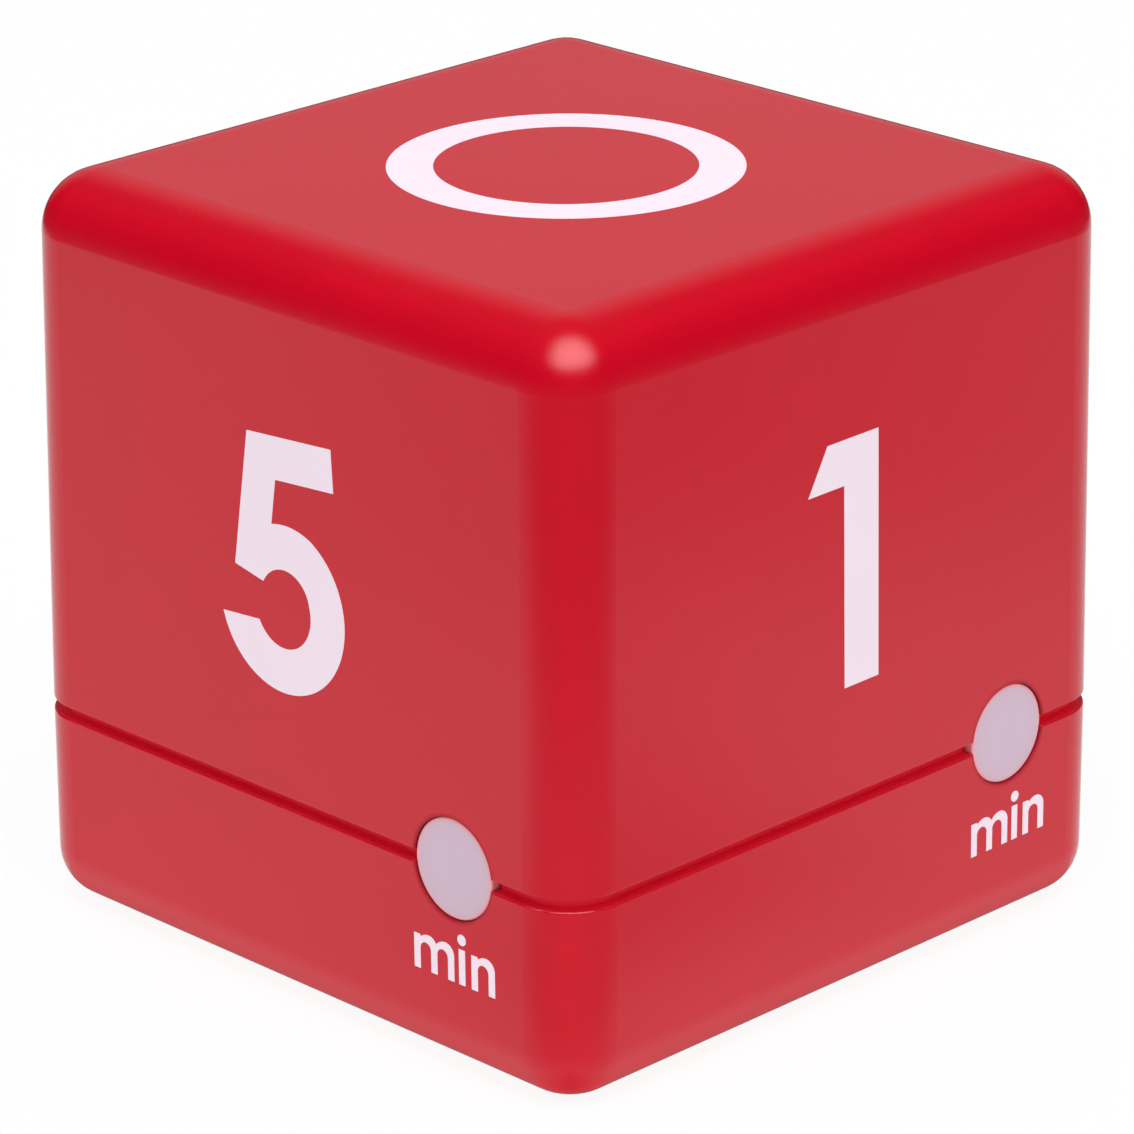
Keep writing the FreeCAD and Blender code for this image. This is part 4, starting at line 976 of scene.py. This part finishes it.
def add_word(side, ink):
    """The word min: m, i with its round dot, and n."""
    stem = bar(WORD_I, WORD_I + WORD_STROKE, 0, WORD_I_TOP)
    dot = oval((WORD_I + WORD_STROKE / 2, WORD_DOT), WORD_DOT_RADIUS, WORD_DOT_RADIUS)
    letters = [arch_outline(2), stem, dot, arch_outline(1) + (WORD_N, 0)]
    across, up = WORD_DRIFT.get(side, (0, 0))
    corner = (WORD_LEFT + across, WORD_FOOT + up)
    layers = [layer(turned(letter, WORD_TILT) + corner) for letter in letters]
    add_piece("word_min_" + side, layers, on_side(side), ink)


def letter_h():
    w, h, s = MARK_WIDTH, MARK_HEIGHT, MARK_STROKE
    low, high = (h - s) / 2, (h + s) / 2
    return line((0, 0), (s, 0), (s, low), (w - s, low), (w - s, 0), (w, 0), (w, h), (w - s, h),
                (w - s, high), (s, high), (s, h), (0, h))


def letter_l():
    w, h, s = MARK_L_WIDTH, MARK_HEIGHT, MARK_STROKE
    return line((0, 0), (w, 0), (w, s), (s, s), (s, h), (0, h))


def add_slider_marks(ink):
    """HI and LO in thin ink at the two ends of the volume slider's slot."""
    width = MARK_WIDTH + MARK_GAP + MARK_STROKE
    corner = (SLIDER_X - width / 2, -LOUD_MARK_Y - MARK_HEIGHT / 2)
    post = bar(width - MARK_STROKE, width, 0, MARK_HEIGHT)
    high = [layer(letter_h() + corner, UNDER_INK), layer(post + corner, UNDER_INK)]
    add_piece("mark_high", high, below(0), ink)
    width = MARK_L_WIDTH + MARK_GAP + MARK_WIDTH
    corner = (SLIDER_X - width / 2, -SOFT_MARK_Y - MARK_HEIGHT / 2)
    middle = (corner[0] + width - MARK_WIDTH / 2, corner[1] + MARK_HEIGHT / 2)
    outer = oval(middle, MARK_WIDTH / 2, MARK_HEIGHT / 2, MARK_O_POWER)
    inner = oval(middle, MARK_WIDTH / 2 - MARK_STROKE, MARK_HEIGHT / 2 - MARK_STROKE, MARK_O_POWER)
    low = [layer(letter_l() + corner, UNDER_INK), band(outer, inner, UNDER_INK)]
    add_piece("mark_low", low, below(0), ink)


def add_display_segments():
    """Resting segments of four digits and a colon, leaning, just below the display's face."""
    half, rise = DIGIT_WIDTH / 2, DIGIT_HEIGHT / 4
    level = DIGIT_WIDTH - SEGMENT
    upright = DIGIT_HEIGHT / 2 - SEGMENT / 2
    lean = math.tan(DEGREE * DIGIT_LEAN)
    shapes = []
    for place in (-1.5, -0.5, 0.5, 1.5):
        middle = place * DIGIT_PITCH + math.copysign(COLON_ROOM, place)
        shapes += [segment((middle, step * 2 * rise - step * SEGMENT / 2), level, False)
                   for step in (-1, 0, 1)]
        shapes += [segment((middle + side * (half - SEGMENT / 2), step * (rise - SEGMENT / 4)), upright, True)
                   for side in (-1, 1) for step in (-1, 1)]
    shapes += [oval((0, step * COLON_RISE), COLON_RADIUS, COLON_RADIUS) for step in (-1, 1)]
    layers = [layer(np.column_stack([shape[:, 0] + lean * shape[:, 1], shape[:, 1] - DISPLAY_Y]), SEGMENT_INK)
              for shape in shapes]
    add_piece("display_segments", layers, below(GLASS_LOW.z / MM), segment_grey())


def add_door_pad(material):
    """Foam pad on the door. Rows run from the middle of its foot out to its rim and back to the middle of its
    top; columns run round a superellipse. With the share s of the way to the rim, a part of the top's height
    falls off as s to the fourth power, and all of it as s to a high power, close to the rim."""
    low, high = (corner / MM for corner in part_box("door_foam"))
    middle = ((low.x + high.x) / 2, (low.y + high.y) / 2)
    half = ((high.x - low.x) / 2, (high.y - low.y) / 2)
    foot = np.linspace(PAD_MIDDLE_SHARE, 1, PAD_FOOT_ROWS)
    top = np.linspace(1, PAD_MIDDLE_SHARE, PAD_TOP_ROWS)[1:]
    shares = np.concatenate([foot, top]) ** 0.5
    crown = (high.z - low.z) * (1 - PAD_CROWN_SHARE * shares ** 4) * (1 - shares ** PAD_RIM_POWER)
    heights = np.where(np.arange(len(shares)) < PAD_FOOT_ROWS, 0, np.maximum(crown, PAD_LEAST_HEIGHT))
    outlines = [oval(middle, half[0] * share, half[1] * share, PAD_CORNER_POWER) for share in shares]
    points = lifted(outlines, heights) + (0, 0, low.z)
    faces = capped(len(shares), len(outlines[0]))
    pad = add_piece("door_pad", [(points, faces)], lambda values: values, material, "battery_door",
                    soft_shading=True)
    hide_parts("door_foam")


# Finishes on the CAD pieces


def dress_nodes():
    """Gives every CAD piece the finish of its material slot, and its own where pieces of a slot differ."""
    by_slot = {
        "case": case_red(),
        "can": metal("can tin", (0.74, 0.74, 0.75), 0.30, turn=(0, 90, 0), lines=0.10),
        "plug": moulded("nylon black", (0.018, 0.018, 0.02), 0.45, grain=0.4, depth=0.006).material,
        "steel": metal("ball steel", (0.78, 0.78, 0.80), 0.12, lines=0.6, depth=0.0005),
        "board": board_green(),
        "resin": resin_black(),
        "ceramic": chip_ceramic(),
        "foam": foam_grey(),
        "nickel": metal("contact nickel", (0.72, 0.70, 0.66), 0.27, turn=(0, 0, 90), lines=0.15),
        "window": window_clear(),
        "display_glass": glass_grey(),
        "holder": moulded("holder white", (0.76, 0.76, 0.74), 0.42, grain=0.4, depth=0.008,
                          spread=0.05).material,
        "ribbon": ribbon_amber(),
        "black_plastic": knob_black(),
        "brass": metal("disc brass", (0.78, 0.58, 0.28), 0.28, lines=0.10),
        "coil": winding_copper(),
        "switch_metal": metal("sheet tin", (0.68, 0.68, 0.68), 0.33, turn=(0, 0, 90)),
        "screw_steel": metal("screw zinc", (0.60, 0.61, 0.64), 0.34, lines=0.2),
    }
    own = {"light_lens_" + side: lens_white(side) for side in SIDES}
    own.update({"light_diode_" + side: diode_white(side) for side in SIDES})
    own["battery_cell_front"] = cell_wrap("battery_cell_front", 1)
    own["battery_cell_rear"] = cell_wrap("battery_cell_rear", -1)
    for name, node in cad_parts.items():
        for spot in node.material_slots:
            slot = spot.material.name.split(".")[0]
            spot.material = own.get(name) or by_slot[slot]
    return by_slot


# Camera, light and floor


def add_camera():
    """Camera at the photograph's angle; the picture is square."""
    data = bpy.data.cameras.new("view")
    data.sensor_width = 36.0
    data.lens = LENS_LENGTH
    data.clip_start = 0.01
    data.clip_end = 20.0
    camera = bpy.data.objects.new("view", data)
    bpy.context.scene.collection.objects.link(camera)
    turn = (Matrix.Rotation(DEGREE * VIEW_TURN, 4, "Z") @ Matrix.Rotation(DEGREE * (90 - VIEW_DIP), 4, "X")
            @ Matrix.Rotation(DEGREE * VIEW_ROLL, 4, "Z"))
    camera.matrix_world = Matrix.Translation([MM * v for v in VIEW_PLACE]) @ turn
    bpy.context.scene.camera = camera


def add_lamp(name, place, target, side, power):
    """Square soft lamp at a place, in metres, that shines towards a target."""
    data = bpy.data.lights.new(name, "AREA")
    data.shape = "SQUARE"
    data.size = side
    data.energy = power
    lamp = bpy.data.objects.new(name, data)
    lamp.location = place
    lamp.rotation_euler = (Vector(target) - Vector(place)).to_track_quat("-Z", "Y").to_euler()
    lamp.visible_camera = False
    lamp.visible_glossy = False
    bpy.context.scene.collection.objects.link(lamp)


def add_lamps():
    middle = Vector((0, 0, CASE_HEIGHT * MM / 2))
    key = middle + Vector(KEY_TOWARDS).normalized() * KEY_DISTANCE
    add_lamp("key", key, middle, KEY_SIDE, KEY_POWER)
    add_lamp("from below", UNDER_PLACE, (0, 0, 0), UNDER_SIDE, UNDER_POWER)


def towards(sky, direction, way, far, near):
    """From 0 to 1 as a direction comes from one angle in degrees to another off a way."""
    cosine = sky.vector("DOT_PRODUCT", direction, Vector(way).normalized()[:], output="Value")
    return sky.smooth(cosine, math.cos(DEGREE * far), math.cos(DEGREE * near))


def light_world():
    """White for the camera; a soft sky for the object's light; for its gloss a backdrop behind, a large soft
    lamp above and a dim room."""
    world = bpy.data.worlds.new("studio")
    bpy.context.scene.world = world
    world.use_nodes = True
    sky = Nodes(world.node_tree)
    sky.tree.nodes.clear()
    direction = sky.put("TexCoord").outputs["Generated"]
    up = sky.parts(direction)[2]
    rays = sky.put("LightPath").outputs
    backdrop = towards(sky, direction, BACKDROP_TOWARDS, *BACKDROP_ANGLES)
    shine = towards(sky, direction, KEY_SHINE_TOWARDS, *KEY_SHINE_ANGLES)
    lamp = sky.math("POWER", shine, KEY_SHINE_POWER)
    lamp = sky.times(lamp, sky.smooth(up, 0.3, 0.7, 0.1, 1.0))
    gloss = sky.add(sky.add(ROOM_GLOSS, backdrop, BACKDROP_GLOSS), lamp, KEY_GLOSS)
    level = sky.mix(rays["Is Glossy Ray"], sky.smooth(up, 0.1, 1.0, SKY_LOW, SKY_HIGH), gloss)
    level = sky.mix(sky.most(rays["Is Camera Ray"], rays["Is Transmission Ray"]), level, 1.0)
    ground = sky.put("Background", {"Color": WHITE, "Strength": level})
    sky.put("OutputWorld", {"Surface": ground.outputs[0]})
    world.cycles.sampling_method = "NONE"


def floor_gloss(floor, from_middle):
    """How bright the floor is in gloss: dim under the object's edges, pale near it, and dimmer again to the
    front and far away."""
    across, along = floor.parts(floor.placed(turn=(0, 0, -FLOOR_DARK_TURN)))[:2]
    away = floor.far(across, along)
    cosine = floor.math("DIVIDE", across, away)
    dark = floor.smooth(cosine, 0.37, 0.9, 0.0, FLOOR_NEAR_DARK)
    near = floor.minus(1.0, floor.times(dark, floor.smooth(away, *FLOOR_NEAR)))
    dim = floor.smooth(cosine, -0.37, 0.87, 1.0, 1.0 - FLOOR_FAR_DARK)
    level = floor.mix(floor.smooth(away, *FLOOR_FAR), near, dim)
    level = floor.times(level, floor.smooth(away, *FLOOR_FADE, FLOOR_GLOSS, FLOOR_FADED_GLOSS))
    return floor.times(level, floor.smooth(from_middle, *FLOOR_FOOT, FLOOR_FOOT_GLOSS, 1.0))


def floor_white():
    """Pale floor. The camera sees the white world through it, dimmed by the object's soft shadow, and so sees
    the open door that hangs below it; from beneath it's clear."""
    material = bpy.data.materials.new("floor white")
    material.use_nodes = True
    floor = Nodes(material.node_tree)
    floor.tree.nodes.clear()
    floor.place = floor.put("TexCoord").outputs["Object"]
    rays = floor.put("LightPath").outputs
    glossy = rays["Is Glossy Ray"]
    seen = floor.most(rays["Is Camera Ray"], rays["Is Transmission Ray"])
    speck = floor.smooth(floor.noise(1 / (3.0 * MM), 3.0), 0.3, 0.7, 0.985, 1.0)
    tint = floor.tint(speck, (0, 0, 0), (FLOOR_WHITE, FLOOR_WHITE, FLOOR_WHITE))
    matte = floor.put("BsdfDiffuse", {"Color": tint}).outputs[0]
    clear = floor.put("BsdfTransparent").outputs[0]
    from_middle = floor.most(*[floor.math("ABSOLUTE", value) for value in floor.parts()[:2]])
    foot_glow = floor.smooth(from_middle, *FLOOR_GLOW, FLOOR_FOOT_GLOW, 1.0)
    strength = floor.mix(glossy, foot_glow, floor_gloss(floor, from_middle))
    bright = floor.mix_shaders(seen, floor.put("Emission", {"Strength": strength}).outputs[0], clear)
    share = floor.most(floor.times(seen, FLOOR_SEEN_SHARE), FLOOR_BOUNCE_SHARE)
    top = floor.mix_shaders(floor.most(share, glossy), matte, bright)
    through = floor.times(floor.put("NewGeometry").outputs["Backfacing"], seen)
    floor.put("OutputMaterial", {"Surface": floor.mix_shaders(through, top, clear)})
    material.cycles.emission_sampling = "NONE"
    return material


def add_floor():
    """Floor with a square hole under the object, so that its underside can be lit and seen: one grid of two
    rows and four columns."""
    around = np.array([(-1, -1), (-1, 1), (1, 1), (1, -1)], float)
    points = np.concatenate([around * FLOOR_HOLE_HALF, around * FLOOR_HALF])
    mesh = bpy.data.meshes.new("floor")
    mesh.from_pydata(np.column_stack([points, np.zeros(8)]).tolist(), [], net(2, 4))
    mesh.materials.append(floor_white())
    floor = bpy.data.objects.new("floor", mesh)
    bpy.context.scene.collection.objects.link(floor)


add_camera()
add_lamps()
light_world()
add_floor()
bpy.context.scene.view_settings.view_transform = "Standard"
for build in (build_mottle, build_grain, build_smudge, build_hairlines, build_rubbed_edges, build_dust,
              build_printed_outline, build_brushed_lines):
    build()
finishes = dress_nodes()
white_ink = figure_ink()
add_figures(white_ink)
add_slider_marks(white_ink)
add_display_segments()
add_door_pad(finishes["foam"])
